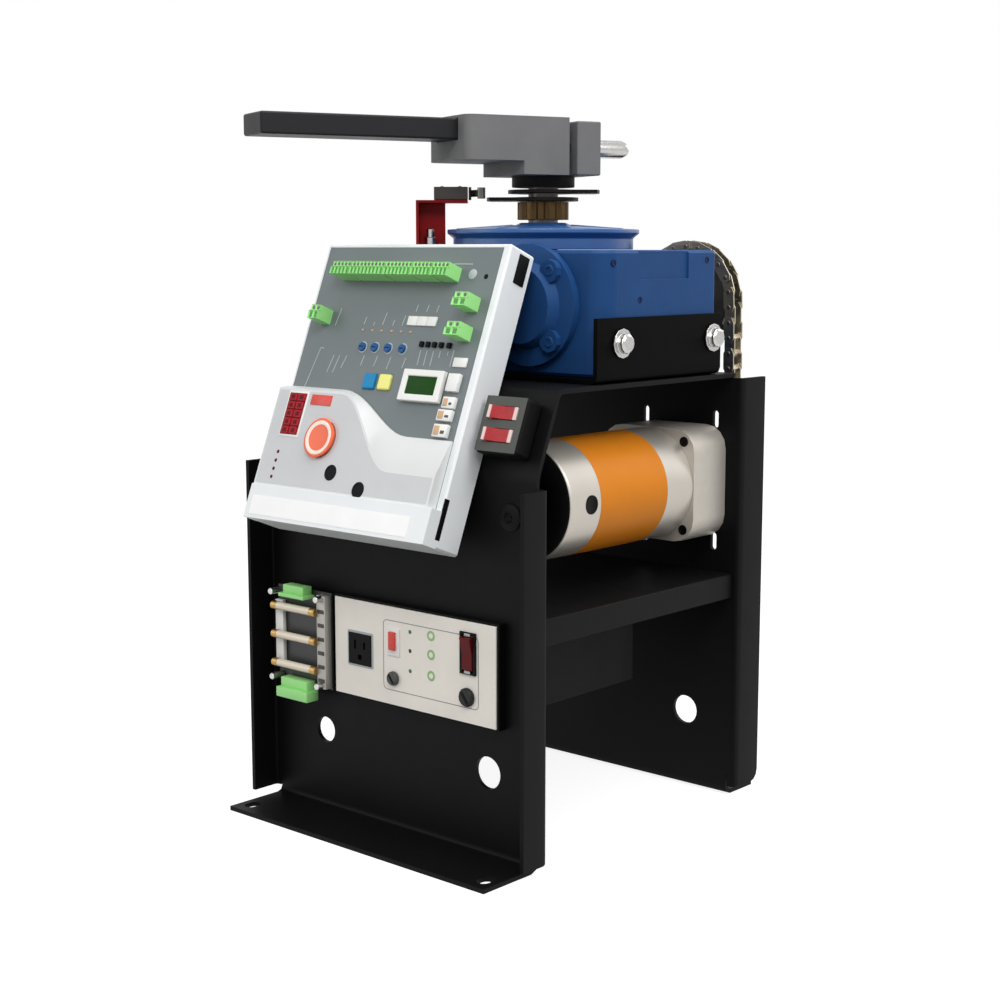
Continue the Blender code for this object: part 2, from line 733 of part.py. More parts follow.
def cradle_bolts():
    """Hex bolts with wide washers, two through each flange of the cradle."""
    left, right = SHAFT_X - HOUSING_LEFT - FIT, WORM_X + HOUSING_RIGHT + FIT
    number = 0
    for x, out in ((right, 1), (left, -1)):
        for y in (CRADLE_BOLT_FRONT, CRADLE_BOLT_REAR):
            number += 1
            seat = CRADLE_SHEET + FIT
            profile = [
                (0.0, seat + WASHER_THICKNESS + BOLT_HEAD_HEIGHT),
                (BOLT_HEAD_RADIUS * 0.75, seat + WASHER_THICKNESS + BOLT_HEAD_HEIGHT),
                (BOLT_HEAD_RADIUS, seat + WASHER_THICKNESS + BOLT_HEAD_HEIGHT * 0.75),
                (BOLT_HEAD_RADIUS, seat + WASHER_THICKNESS),
                (WASHER_RADIUS, seat + WASHER_THICKNESS),
                (WASHER_RADIUS, seat),
                (BOLT_RADIUS, seat),
                (BOLT_RADIUS, seat - BOLT_GRIP),
                (0.0, seat - BOLT_GRIP),
            ]
            place = (x, FRONT_Y + y, CRADLE_BOLT_Z)
            revolve(f"cradle_bolt_{number}", profile, BRIGHT_STEEL, 12, place, (0, out * math.pi / 2, 0))


def gearbox_housing():
    left, right = SHAFT_X - HOUSING_LEFT, WORM_X + HOUSING_RIGHT
    front, rear = SHAFT_Y - HOUSING_FRONT, SHAFT_Y + HOUSING_REAR
    shape = rounded_rectangle(left, front, right, rear, HOUSING_CORNERS)
    obj = piece("gearbox_housing", outline(shape, HOUSING_TOP - HOUSING_BOTTOM, HOUSING_BOTTOM), BLUE_PAINT)
    round_edges(obj, HOUSING_EDGE)
    chamber = rod(CHAMBER_RADIUS, CHAMBER_FLOOR, HOUSING_TOP + SHEET, 26)
    cut(obj, helper(chamber, (SHAFT_X, SHAFT_Y, 0)))
    seat = rod(LOWER_BEARING_RADIUS + FIT, CHAMBER_FLOOR - BEARING_WIDTH - FIT, CHAMBER_FLOOR + SHEET)
    cut(obj, helper(seat, (SHAFT_X, SHAFT_Y, 0)))
    tunnel = rod(WORM_BEARING_RADIUS + FIT, -HOUSING_FRONT - SHEET, HOUSING_REAR + SHEET)
    cut(obj, helper(tunnel, (WORM_X, SHAFT_Y, WORM_Z), TURN_Y))
    for y in (CRADLE_BOLT_FRONT, CRADLE_BOLT_REAR):
        for x, out in ((right, 1), (left, -1)):
            hole = rod(BOLT_RADIUS + FIT, -BOLT_GRIP, SHEET, 16)
            cut(obj, helper(hole, (x, FRONT_Y + y, CRADLE_BOLT_Z), (0, out * math.pi / 2, 0)))
    recess = block(
        (2 * RECESS_DEPTH, RECESS_LENGTH, RECESS_HEIGHT),
        (right, SHAFT_Y, HOUSING_TOP - RECESS_DROP - RECESS_HEIGHT / 2),
    )
    cut(obj, helper(recess))
    return obj


def gearbox_top_cover():
    base = HOUSING_TOP + FIT
    bore = SHAFT_RADIUS + RUN
    seat = UPPER_BEARING_RADIUS + FIT
    profile = [
        (bore, COVER_NECK_TOP),
        (COVER_NECK_RADIUS, COVER_NECK_TOP),
        (COVER_CONE_RADIUS, COVER_NECK_TOP - COVER_CONE_DROP),
        (COVER_RIM, base + COVER_HEIGHT),
        (COVER_RIM, base + COVER_HEIGHT - COVER_RIM_EDGE),
        (COVER_RADIUS, base + COVER_HEIGHT - COVER_RIM_EDGE - COVER_RIM_TUCK),
        (COVER_RADIUS, base),
        (seat, base),
        (seat, base + BEARING_WIDTH + FIT),
        (bore, base + BEARING_WIDTH + FIT),
    ]
    return revolve("gearbox_top_cover", profile, BLUE_PAINT, 30, (SHAFT_X, SHAFT_Y, 0))


def worm_front_cover():
    """Domed cap over the front worm bearing, with four bolt lugs."""
    seat = SHAFT_Y - HOUSING_FRONT - FIT
    profile = [
        (0.0, 0.0),
        (WORM_COVER_RADIUS, 0.0),
        (WORM_COVER_RADIUS, -WORM_COVER_FLANGE),
        (WORM_COVER_DOME, -WORM_COVER_FLANGE - WORM_COVER_STEP),
        (WORM_COVER_DOME - WORM_COVER_TAPER, -WORM_COVER_DEPTH),
        (0.0, -WORM_COVER_DEPTH),
    ]
    obj = revolve("worm_front_cover", profile, BLUE_PAINT, 26, (WORM_X, seat, WORM_Z), TURN_Y)
    for k in range(4):
        angle = math.pi / 4 + k * math.pi / 2
        lug = rod(LUG_RADIUS, -WORM_COVER_FLANGE - LUG_HEIGHT, -WORM_COVER_FLANGE / 2, 10)
        x, z = LUG_CIRCLE * math.cos(angle), LUG_CIRCLE * math.sin(angle)
        join(obj, helper(lug, (WORM_X + x, seat, WORM_Z + z), TURN_Y))
    return obj


def gearbox_bearings():
    front = SHAFT_Y - HOUSING_FRONT + FIT
    rear = SHAFT_Y + HOUSING_REAR - FIT - BEARING_WIDTH
    for name, y in (("worm_bearing_front", front), ("worm_bearing_rear", rear)):
        ring(
            name, WORM_JOURNAL + FIT, WORM_BEARING_RADIUS, 0.0, BEARING_WIDTH, BRIGHT_STEEL, 18,
            (WORM_X, y, WORM_Z), TURN_Y,
        )
    lower = CHAMBER_FLOOR - BEARING_WIDTH
    upper = HOUSING_TOP + 2 * FIT
    for name, z, radius in (
        ("output_bearing_lower", lower, LOWER_BEARING_RADIUS),
        ("output_bearing_upper", upper, UPPER_BEARING_RADIUS),
    ):
        top = z + BEARING_WIDTH - FIT
        ring(name, SHAFT_RADIUS + FIT, radius, z, top, BRIGHT_STEEL, 18, (SHAFT_X, SHAFT_Y, 0))


def worm_thread():
    """One start of trapezoid thread, spun along a helix about Z."""
    half = math.pi * WHEEL_MODULE / 4 - BACKLASH
    slope = math.tan(PRESSURE_ANGLE)
    root, tip = WORM_RADIUS - THREAD_SINK * WHEEL_MODULE, WORM_RADIUS + WHEEL_MODULE
    section = [
        (root, half + slope * (WORM_RADIUS - root)),
        (tip, half - slope * (tip - WORM_RADIUS)),
        (tip, -half + slope * (tip - WORM_RADIUS)),
        (root, -half - slope * (WORM_RADIUS - root)),
    ]
    steps = THREAD_STEPS * WORM_TURNS
    start = -WORM_LEAD * WORM_TURNS / 2
    bm = bmesh.new()
    face = bm.faces.new([bm.verts.new((radius, 0, start + height)) for radius, height in section])
    bmesh.ops.spin(
        bm, geom=[face, *face.edges, *face.verts], cent=(0, 0, 0), axis=(0, 0, 1),
        dvec=(0, 0, WORM_LEAD * WORM_TURNS / steps), angle=2 * math.pi * WORM_TURNS, steps=steps,
    )
    bmesh.ops.recalc_face_normals(bm, faces=bm.faces)
    return mesh_from(bm)


def worm_shaft():
    core = WORM_RADIUS - CORE_DEPTH * WHEEL_MODULE
    reach = WORM_LEAD * (WORM_TURNS / 2 + 0.6)
    front = -HOUSING_FRONT + 2 * FIT
    profile = [
        (0.0, CHAIN_Y - SHAFT_Y + SPROCKET_HUB),
        (WORM_JOURNAL, CHAIN_Y - SHAFT_Y + SPROCKET_HUB),
        (WORM_JOURNAL, reach),
        (core, reach),
        (core, -reach),
        (WORM_JOURNAL, -reach),
        (WORM_JOURNAL, front),
        (0.0, front),
    ]
    obj = revolve("worm_shaft", profile, BRIGHT_STEEL, 14, (WORM_X, SHAFT_Y, WORM_Z), TURN_Y)
    join(obj, helper(worm_thread(), (WORM_X, SHAFT_Y, WORM_Z), TURN_Y))
    return obj


def worm_wheel():
    """Bronze wheel whose teeth lie at the worm's lead angle, with a tooth gap facing the worm."""
    half = math.pi * WHEEL_MODULE / 4 - BACKLASH
    slope = math.tan(PRESSURE_ANGLE)
    tip, root = WHEEL_RADIUS + 0.92 * WHEEL_MODULE, WHEEL_RADIUS - 1.25 * WHEEL_MODULE
    tip_angle = (half - slope * (tip - WHEEL_RADIUS)) / tip
    root_angle = (half + slope * (WHEEL_RADIUS - root)) / root
    points = []
    for k in range(WHEEL_TEETH):
        middle = 2 * math.pi * (k + 0.5) / WHEEL_TEETH
        for radius, angle in ((root, -root_angle), (tip, -tip_angle), (tip, tip_angle), (root, root_angle)):
            points.append((radius * math.cos(middle + angle), radius * math.sin(middle + angle)))
    mesh = outline(points, WHEEL_WIDTH, -WHEEL_WIDTH / 2)
    lead_angle = math.atan2(WORM_LEAD, 2 * math.pi * WORM_RADIUS)
    twist = math.tan(lead_angle) / WHEEL_RADIUS
    for vertex in mesh.vertices:
        vertex.co = Matrix.Rotation(twist * vertex.co.z, 3, "Z") @ vertex.co
    obj = piece("worm_wheel", mesh, BRONZE, (SHAFT_X, SHAFT_Y, WORM_Z))
    bore = rod(SHAFT_RADIUS + FIT, -WHEEL_WIDTH, WHEEL_WIDTH)
    cut(obj, helper(bore, (SHAFT_X, SHAFT_Y, WORM_Z)))
    return obj


def output_shaft():
    profile = [
        (0.0, CLAMP_TOP - FIT),
        (SHAFT_RADIUS, CLAMP_TOP - FIT),
        (SHAFT_RADIUS, CHAMBER_FLOOR - BEARING_WIDTH),
        (0.0, CHAMBER_FLOOR - BEARING_WIDTH),
    ]
    return revolve("output_shaft", profile, DARK_STEEL, 24, (SHAFT_X, SHAFT_Y, 0))


def motor_z():
    """Height of the motor shaft at which the chain wraps both sprockets with a whole number of links."""
    length = CHAIN_LINKS * CHAIN_PITCH
    difference = INPUT_RADIUS - DRIVE_RADIUS
    centres = length / 4
    for _ in range(40):
        lean = math.asin(difference / centres)
        wrapped = math.pi * (INPUT_RADIUS + DRIVE_RADIUS) + 2 * lean * difference
        centres = (length - wrapped) / (2 * math.cos(lean))
    return WORM_Z - math.sqrt(centres**2 - (MOTOR_X - WORM_X) ** 2)


def chain_points():
    """Joints of the chain in XZ, one pitch apart, and the first one's angle on each sprocket."""
    drop = Vector((MOTOR_X - WORM_X, motor_z() - WORM_Z))
    heading = math.atan2(drop.y, drop.x)
    lean = math.asin((INPUT_RADIUS - DRIVE_RADIUS) / drop.length)
    run = drop.length * math.cos(lean)
    top, bottom = Vector((WORM_X, WORM_Z)), Vector((MOTOR_X, motor_z()))
    leave, arrive = heading + math.pi / 2 - lean, heading - math.pi / 2 + lean + 2 * math.pi
    upper_wrap = INPUT_RADIUS * (arrive - leave)
    lower_wrap = DRIVE_RADIUS * (2 * math.pi - (arrive - leave))

    def along(distance):
        if distance < upper_wrap:
            angle = leave + distance / INPUT_RADIUS
            return top + INPUT_RADIUS * Vector((math.cos(angle), math.sin(angle)))
        distance -= upper_wrap
        radial = Vector((math.cos(arrive), math.sin(arrive)))
        forward = Vector((-math.sin(arrive), math.cos(arrive)))
        if distance < run:
            return top + INPUT_RADIUS * radial + distance * forward
        distance -= run
        if distance < lower_wrap:
            angle = arrive + distance / DRIVE_RADIUS
            return bottom + DRIVE_RADIUS * Vector((math.cos(angle), math.sin(angle)))
        distance -= lower_wrap
        radial = Vector((math.cos(leave), math.sin(leave)))
        forward = Vector((-math.sin(leave), math.cos(leave)))
        return bottom + DRIVE_RADIUS * radial + distance * forward

    start = CHAIN_PITCH / 2
    joints = [along(start + k * CHAIN_PITCH) for k in range(CHAIN_LINKS)]
    upper_phase = leave + start / INPUT_RADIUS
    into_lower = math.ceil((upper_wrap + run - start) / CHAIN_PITCH) * CHAIN_PITCH + start - upper_wrap - run
    lower_phase = arrive + into_lower / DRIVE_RADIUS
    return joints, upper_phase, lower_phase


def drive_chain():
    """Roller chain: pairs of inner and outer plates on rollers, closed round both sprockets."""
    joints, _, _ = chain_points()
    tab = LINK_HEIGHT / 2
    shape = arc((CHAIN_PITCH / 2, 0), tab, -math.pi / 2, math.pi / 2, 3)
    shape += arc((-CHAIN_PITCH / 2, 0), tab, math.pi / 2, 1.5 * math.pi, 3)
    plate = turned(outline(shape, LINK_PLATE, -LINK_PLATE / 2), (math.pi / 2, 0, 0))
    half_inner = INNER_GAP / 2 + LINK_PLATE / 2
    half_outer = OUTER_GAP / 2 + LINK_PLATE / 2
    roller = turned(rod(ROLLER_RADIUS, -half_outer, half_outer, 6), TURN_Y)
    bm = bmesh.new()
    for k, joint in enumerate(joints):
        after = joints[(k + 1) % CHAIN_LINKS]
        line = after - joint
        middle = (joint + after) / 2
        turn = Matrix.Rotation(-math.atan2(line.y, line.x), 4, "Y")
        half = half_outer if k % 2 else half_inner
        for side in (-half, half):
            copied = plate.copy()
            copied.transform(Matrix.Translation((middle.x, CHAIN_Y + side, middle.y)) @ turn)
            bm.from_mesh(copied)
        if k:
            copied = roller.copy()
            copied.transform(Matrix.Translation((joint.x, CHAIN_Y, joint.y)) @ turn)
            bm.from_mesh(copied)
    obj = piece("drive_chain", mesh_from(bm), BRIGHT_STEEL)
    union = join(obj, helper(roller, (joints[0].x, CHAIN_Y, joints[0].y)))
    union.use_self = True
    return obj


def sprocket(name, teeth, radius, phase, centre, shaft, hub_radius):
    """A plain sprocket with a seat of three flats for each roller and a hub on one side."""
    step = 2 * math.pi / teeth
    seat = ROLLER_RADIUS + 2 * FIT
    tip = radius + TOOTH_REACH
    flank = 2 * seat / (math.sqrt(3) * radius)
    points = []
    for k in range(teeth):
        middle = phase + k * step
        for reach, angle in (
            (radius, -flank),
            (radius - seat, -flank / 2),
            (radius - seat, flank / 2),
            (radius, flank),
            (tip, step / 2),
        ):
            points.append((reach * math.cos(middle + angle), reach * math.sin(middle + angle)))
    plate = turned(outline(points, SPROCKET_WIDTH, -SPROCKET_WIDTH / 2), (math.pi / 2, 0, 0))
    obj = piece(name, plate, DARK_STEEL, (centre[0], CHAIN_Y, centre[1]))
    hub = rod(hub_radius, -SPROCKET_HUB, 0.0, 16)
    join(obj, helper(hub, obj.location, TURN_Y))
    cut(obj, helper(rod(shaft + FIT, -2 * SPROCKET_HUB, 2 * SPROCKET_HUB, 14), obj.location, TURN_Y))
    return obj


def sprockets():
    _, upper_phase, lower_phase = chain_points()
    upper, lower = (WORM_X, WORM_Z), (MOTOR_X, motor_z())
    sprocket("input_sprocket", INPUT_TEETH, INPUT_RADIUS, upper_phase, upper, WORM_JOURNAL, INPUT_HUB_RADIUS)
    sprocket(
        "motor_sprocket", MOTOR_TEETH, DRIVE_RADIUS, lower_phase, lower, MOTOR_SHAFT_RADIUS, MOTOR_HUB_RADIUS
    )


def motor():
    front, back = FRONT_Y + MOTOR_FRONT, BACK_Y - SHEET - FIT
    seam = back - BELL_LENGTH
    inside = MOTOR_RADIUS - CAN_WALL
    bore = MOTOR_SHAFT_RADIUS + FIT
    length = seam - FIT - front
    profile = [
        (MOTOR_RADIUS, length),
        (MOTOR_RADIUS, CAN_CHAMFER),
        (MOTOR_RADIUS - CAN_CHAMFER, 0.0),
        (0.0, 0.0),
        (0.0, CAN_FRONT),
        (bore, CAN_FRONT),
        (bore, CAN_END),
        (inside, CAN_END),
        (inside, length),
    ]
    revolve("motor_can", profile, MOTOR_STEEL, 30, (MOTOR_X, front, motor_z()), TURN_Y)
    half = BELL_SIDE / 2
    shape = rounded_rectangle(-half, -half, half, half, [BELL_CORNER] * 4, 4)
    place = (MOTOR_X, seam, motor_z())
    bell = piece("motor_end_bell", outline(shape, BELL_LENGTH), BELL_METAL, place, TURN_Y)
    cut(bell, helper(rod(inside, -SHEET, BELL_LENGTH - BELL_WALL, 26), bell.location, TURN_Y))
    cut(bell, helper(rod(bore, 0, 2 * BELL_LENGTH, 20), bell.location, TURN_Y))
    rotor_back = length + ROTOR_TAIL
    shaft_end = CHAIN_Y - front + SPROCKET_HUB
    profile = [
        (0.0, shaft_end),
        (MOTOR_SHAFT_RADIUS, shaft_end),
        (MOTOR_SHAFT_RADIUS, rotor_back),
        (ROTOR_RADIUS, rotor_back),
        (ROTOR_RADIUS, ROTOR_FRONT),
        (MOTOR_SHAFT_RADIUS, ROTOR_FRONT),
        (MOTOR_SHAFT_RADIUS, CAN_FRONT + FIT),
        (0.0, CAN_FRONT + FIT),
    ]
    revolve("motor_armature", profile, DARK_STEEL, 18, (MOTOR_X, front, motor_z()), TURN_Y)


def arm():
    """Split clamp on the output shaft, its cap and bolt, and the arm bar that it grips."""
    axis = pivot("arm_axis", (SHAFT_X, SHAFT_Y, 0), (0, 0, ARM_ANGLE))
    side = [
        (CLAMP_SPLIT - SHEET, CLAMP_BOTTOM),
        (CLAMP_STEP, CLAMP_BOTTOM),
        (CLAMP_STEP, CLAMP_BOTTOM + CLAMP_LIP_RISE),
        (CLAMP_FRONT, CLAMP_BOTTOM + CLAMP_LIP_RISE),
        (CLAMP_FRONT, CLAMP_TOP),
        (CLAMP_SPLIT - SHEET, CLAMP_TOP),
    ]
    shape = turned(outline(side, 2 * CLAMP_HALF_WIDTH, -CLAMP_HALF_WIDTH), (math.pi / 2, 0, 0))
    clamp = piece("arm_clamp", shape, GREY_CAST, parent=axis)
    plan = rounded_rectangle(
        CAP_BACK, -CLAMP_HALF_WIDTH, CLAMP_FRONT, CLAMP_HALF_WIDTH, (0, CLAMP_CORNER, CLAMP_CORNER, 0)
    )
    around = outline(plan, CLAMP_TOP - CLAMP_BOTTOM + 2 * SHEET, CLAMP_BOTTOM - SHEET)
    boolean(clamp, helper(around, parent=axis), "INTERSECT")
    join(clamp, helper(rod(COLLAR_RADIUS, COLLAR_BOTTOM, CLAMP_BOTTOM + SHEET, 22), parent=axis))
    split = span(
        (CAP_BACK, -2 * CLAMP_HALF_WIDTH, CLAMP_BOTTOM - FIT),
        (CLAMP_SPLIT, 2 * CLAMP_HALF_WIDTH, CLAMP_TOP + SHEET),
    )
    cut(clamp, helper(split, parent=axis))
    bore = rod(SHAFT_RADIUS + FIT, COLLAR_BOTTOM - SHEET, CLAMP_TOP + SHEET)
    cut(clamp, helper(bore, parent=axis))
    pocket = span(
        (ARM_GRIP - FIT, -ARM_WIDTH / 2 - FIT, ARM_SEAT),
        (CLAMP_FRONT + SHEET, ARM_WIDTH / 2 + FIT, ARM_SEAT + ARM_HEIGHT + 2 * FIT),
    )
    cut(clamp, helper(pocket, parent=axis))
    tapped = rod(HANDLE_SHANK + FIT, 0.0, -CLAMP_SPLIT + 2 * HANDLE_ENGAGED, 14)
    cut(clamp, helper(tapped, (2 * CLAMP_SPLIT, HANDLE_SIDE, HANDLE_Z), TURN_X, axis))

    cap_shape = span(
        (CAP_BACK, -CLAMP_HALF_WIDTH, CLAMP_BOTTOM), (CAP_SPLIT, CLAMP_HALF_WIDTH, CLAMP_TOP - CAP_DROP)
    )
    cap = piece("clamp_cap", cap_shape, GREY_CAST, parent=axis)
    cut(cap, helper(bore.copy(), parent=axis))
    through = rod(HANDLE_SHANK + FIT, 2 * CAP_BACK, 0.0, 14)
    cut(cap, helper(through, (0, HANDLE_SIDE, HANDLE_Z), TURN_X, axis))

    back = CAP_BACK - FIT
    inner_end = -CLAMP_SPLIT + HANDLE_ENGAGED - FIT
    profile = [
        (0.0, inner_end),
        (HANDLE_SHANK, inner_end),
        (HANDLE_SHANK, back),
        (HANDLE_RADIUS, back),
        (HANDLE_RADIUS, back - HANDLE_LENGTH + HANDLE_RADIUS),
        (0.7 * HANDLE_RADIUS, back - HANDLE_LENGTH + 0.3 * HANDLE_RADIUS),
        (0.0, back - HANDLE_LENGTH),
    ]
    revolve("clamp_handle", profile, BRIGHT_STEEL, 14, (0, HANDLE_SIDE, HANDLE_Z), TURN_X, axis)

    half = ARM_WIDTH / 2
    bar = span((ARM_GRIP, -half, ARM_SEAT + FIT), (ARM_REACH, half, ARM_SEAT + FIT + ARM_HEIGHT))
    round_edges(piece("arm_bar", bar, BLACK_STEEL, parent=axis), ARM_EDGE)


def cam_outline(lobe):
    """A disc with one raised lobe."""
    low, high = lobe - LOBE_SPAN / 2, lobe + LOBE_SPAN / 2
    raised = arc((0, 0), CAM_LOBE, low, high, 6)
    return raised + arc((0, 0), CAM_BASE, high + LOBE_RAMP, low - LOBE_RAMP + 2 * math.pi, 13)


def cams():
    place = (SHAFT_X, SHAFT_Y, 0)
    bore = SHAFT_RADIUS + FIT
    step = 2 * math.pi / HUB_TEETH
    root = HUB_RADIUS - HUB_TOOTH
    points = []
    for k in range(HUB_TEETH):
        for radius, share in ((root, -0.42), (HUB_RADIUS, -0.20), (HUB_RADIUS, 0.20), (root, 0.42)):
            turn = (k + share) * step
            points.append((radius * math.cos(turn), radius * math.sin(turn)))
    hub = piece("cam_hub", outline(points, HUB_TOP - HUB_BOTTOM, HUB_BOTTOM), BRONZE, place)
    plate = outline(cam_outline(LOWER_LOBE), CAM_SHEET, LOWER_CAM_Z)
    lower = piece("limit_cam_lower", plate, BRIGHT_STEEL, place)
    plate = outline(cam_outline(UPPER_LOBE), CAM_SHEET, UPPER_CAM_Z)
    upper = piece("limit_cam_upper", plate, BLACK_STEEL, place)
    for obj, low, high in (
        (hub, HUB_BOTTOM, HUB_TOP),
        (lower, LOWER_CAM_Z, LOWER_CAM_Z + CAM_SHEET),
        (upper, UPPER_CAM_Z, UPPER_CAM_Z + CAM_SHEET),
    ):
        cut(obj, helper(rod(bore, low - SHEET, high + SHEET), place))


def limit_switch():
    axis = pivot("switch_axis", (SHAFT_X, SHAFT_Y, 0), (0, 0, SWITCH_ANGLE))
    foot = HOUSING_TOP + FIT
    half = BRACKET_WIDTH / 2
    side = [
        (BRACKET_IN, BRACKET_TOP),
        (BRACKET_IN, BRACKET_TOP - BRACKET_SHEET),
        (BRACKET_OUT - BRACKET_SHEET, BRACKET_TOP - BRACKET_SHEET),
        (BRACKET_OUT - BRACKET_SHEET, foot),
        (BRACKET_OUT, foot),
        (BRACKET_OUT, BRACKET_TOP),
    ]
    shape = turned(outline(side, 2 * half, -half), (math.pi / 2, 0, 0))
    bracket = piece("limit_bracket", shape, RED_STEEL, parent=axis)
    web = span(
        (BRACKET_OUT - BRACKET_WEB, -half, foot),
        (BRACKET_OUT - BRACKET_SHEET / 2, BRACKET_SHEET - half, BRACKET_TOP - BRACKET_SHEET / 2),
    )
    join(bracket, helper(web, parent=axis))
    tab = span(
        (BRACKET_OUT - BRACKET_WEB, -half, foot),
        (BRACKET_OUT - BRACKET_SHEET / 2, half, foot + BRACKET_SHEET),
    )
    join(bracket, helper(tab, parent=axis))
    base = BRACKET_TOP + FIT
    body = span(
        (BRACKET_IN, -SWITCH_WIDTH / 2, base),
        (BRACKET_IN + SWITCH_LENGTH, SWITCH_WIDTH / 2, base + SWITCH_HEIGHT),
    )
    piece("limit_switch", body, BLACK_PLASTIC, parent=axis)


def control_frame():
    return pivot("control_tilt", (0, FRONT_Y, SLANT_BOTTOM), (-SLANT_TILT, 0, 0))


def control_housing(tilt):
    """Tray that lies on the slant, with a ledge along its lower edge."""
    shape = span((BOX_LEFT, -BOX_DEPTH, BOX_BOTTOM), (BOX_RIGHT, -FIT, BOX_TOP))
    obj = piece("control_housing", shape, SILVER_PLASTIC, parent=tilt)
    round_edges(obj, BOX_EDGE)
    ledge = span(
        (BOX_LEFT, -BOX_DEPTH - LEDGE_DEPTH, BOX_BOTTOM), (BOX_RIGHT, -BOX_DEPTH + BOX_WALL, LEDGE_TOP)
    )
    join(obj, helper(ledge, parent=tilt))
    inside = span(
        (BOX_LEFT + BOX_WALL, -BOX_DEPTH - SHEET, LEDGE_TOP + FIT),
        (BOX_RIGHT - 2 * BOX_WALL, -BOX_WALL, BOX_TOP - BOX_WALL),
    )
    cut(obj, helper(inside, parent=tilt))
    return obj


def control_faceplate(tilt):
    shape = span(
        (BOX_LEFT + BOX_WALL + FIT, -BOX_DEPTH, LEDGE_TOP + 2 * FIT),
        (BOX_RIGHT - 2 * BOX_WALL - FIT, -BOX_DEPTH + FACE_SHEET, BOX_TOP - BOX_WALL - FIT),
    )
    obj = piece("control_faceplate", shape, FACE_GREY, parent=tilt)
    for x, z in (BLUE_KEY, YELLOW_KEY):
        side = KEY_SIZE + 2 * FIT
        cut(obj, helper(block((side, 4 * FACE_SHEET, side), (x, -BOX_DEPTH, z)), parent=tilt))
    return obj


def s_edge(raised):
    """S-shaped upper edge of the lower cover, from left to right: 0 at its foot, 1 on the plateau."""
    crest, valley = COVER_CREST - raised * CREST_SLOPE, COVER_VALLEY - raised * VALLEY_SLOPE
    left, right = S_LEFT + raised * S_TUCK, S_RIGHT - raised * S_TUCK / 2
    points = []
    for k in range(S_POINTS + 1):
        share = k / S_POINTS
        ease = share * share * (3 - 2 * share)
        points.append((left + (right - left) * share, crest + (valley - crest) * ease))
    return points


def control_cover(tilt):
    """Lower cover: a raised plateau whose S-shaped edge slopes down to the faceplate."""
    left, right, bottom = BOX_LEFT, BOX_RIGHT - 2 * BOX_WALL, LEDGE_TOP + FIT
    rows = []
    for depth, raised in ((BOX_DEPTH + FIT, 0), (BOX_DEPTH + COVER_LIP, 0), (BOX_DEPTH + COVER_DEPTH, 1)):
        edge = s_edge(raised)
        loop = [(left, bottom), (left, edge[0][1]), *edge, (right, edge[-1][1]), (right, bottom)]
        rows.append([(x, -depth, z) for x, z in loop])
    bm = bmesh.new()
    loops = []
    for row in rows:
        points = [bm.verts.new(co) for co in row]
        loops.append([bm.edges.new((a, b)) for a, b in zip(points, points[1:] + points[:1])])
    for low, high in zip(loops, loops[1:]):
        bmesh.ops.bridge_loops(bm, edges=low + high)
    for cap in (loops[0], loops[-1]):
        bmesh.ops.contextual_create(bm, geom=cap)
    bmesh.ops.triangulate(bm, faces=bm.faces)
    bmesh.ops.recalc_face_normals(bm, faces=bm.faces)
    obj = piece("control_cover", mesh_from(bm), SILVER_PLASTIC, parent=tilt)
    x, z = STOP_CENTRE
    hole = rod(STOP_RADIUS + 2 * FIT, -BOX_DEPTH - 2 * COVER_DEPTH, -BOX_DEPTH - STOP_FLOOR, 24)
    cut(obj, helper(hole, (x, 0, z), TURN_Y, tilt))
    return obj


def control_buttons(tilt):
    keys = (("blue_button", BLUE_KEY, KEY_BLUE), ("yellow_button", YELLOW_KEY, KEY_YELLOW))
    for name, (x, z), look in keys:
        key = block((KEY_SIZE, KEY_LENGTH, KEY_SIZE), (0, KEY_LENGTH / 2, 0))
        obj = piece(name, key, look, (x, -BOX_DEPTH - KEY_PROUD, z), parent=tilt)
        round_edges(obj, KEY_EDGE)
    x, z = STOP_CENTRE
    face = -BOX_DEPTH - COVER_DEPTH
    profile = [
        (0.0, STOP_SUNK),
        (STOP_RADIUS, STOP_SUNK),
        (STOP_RADIUS, STOP_EDGE - STOP_PROUD),
        (STOP_RADIUS - STOP_EDGE, -STOP_PROUD),
        (0.0, -STOP_PROUD + STOP_DISH),
    ]
    revolve("stop_button", profile, STOP_ORANGE, 28, (x, face, z), TURN_Y, tilt)


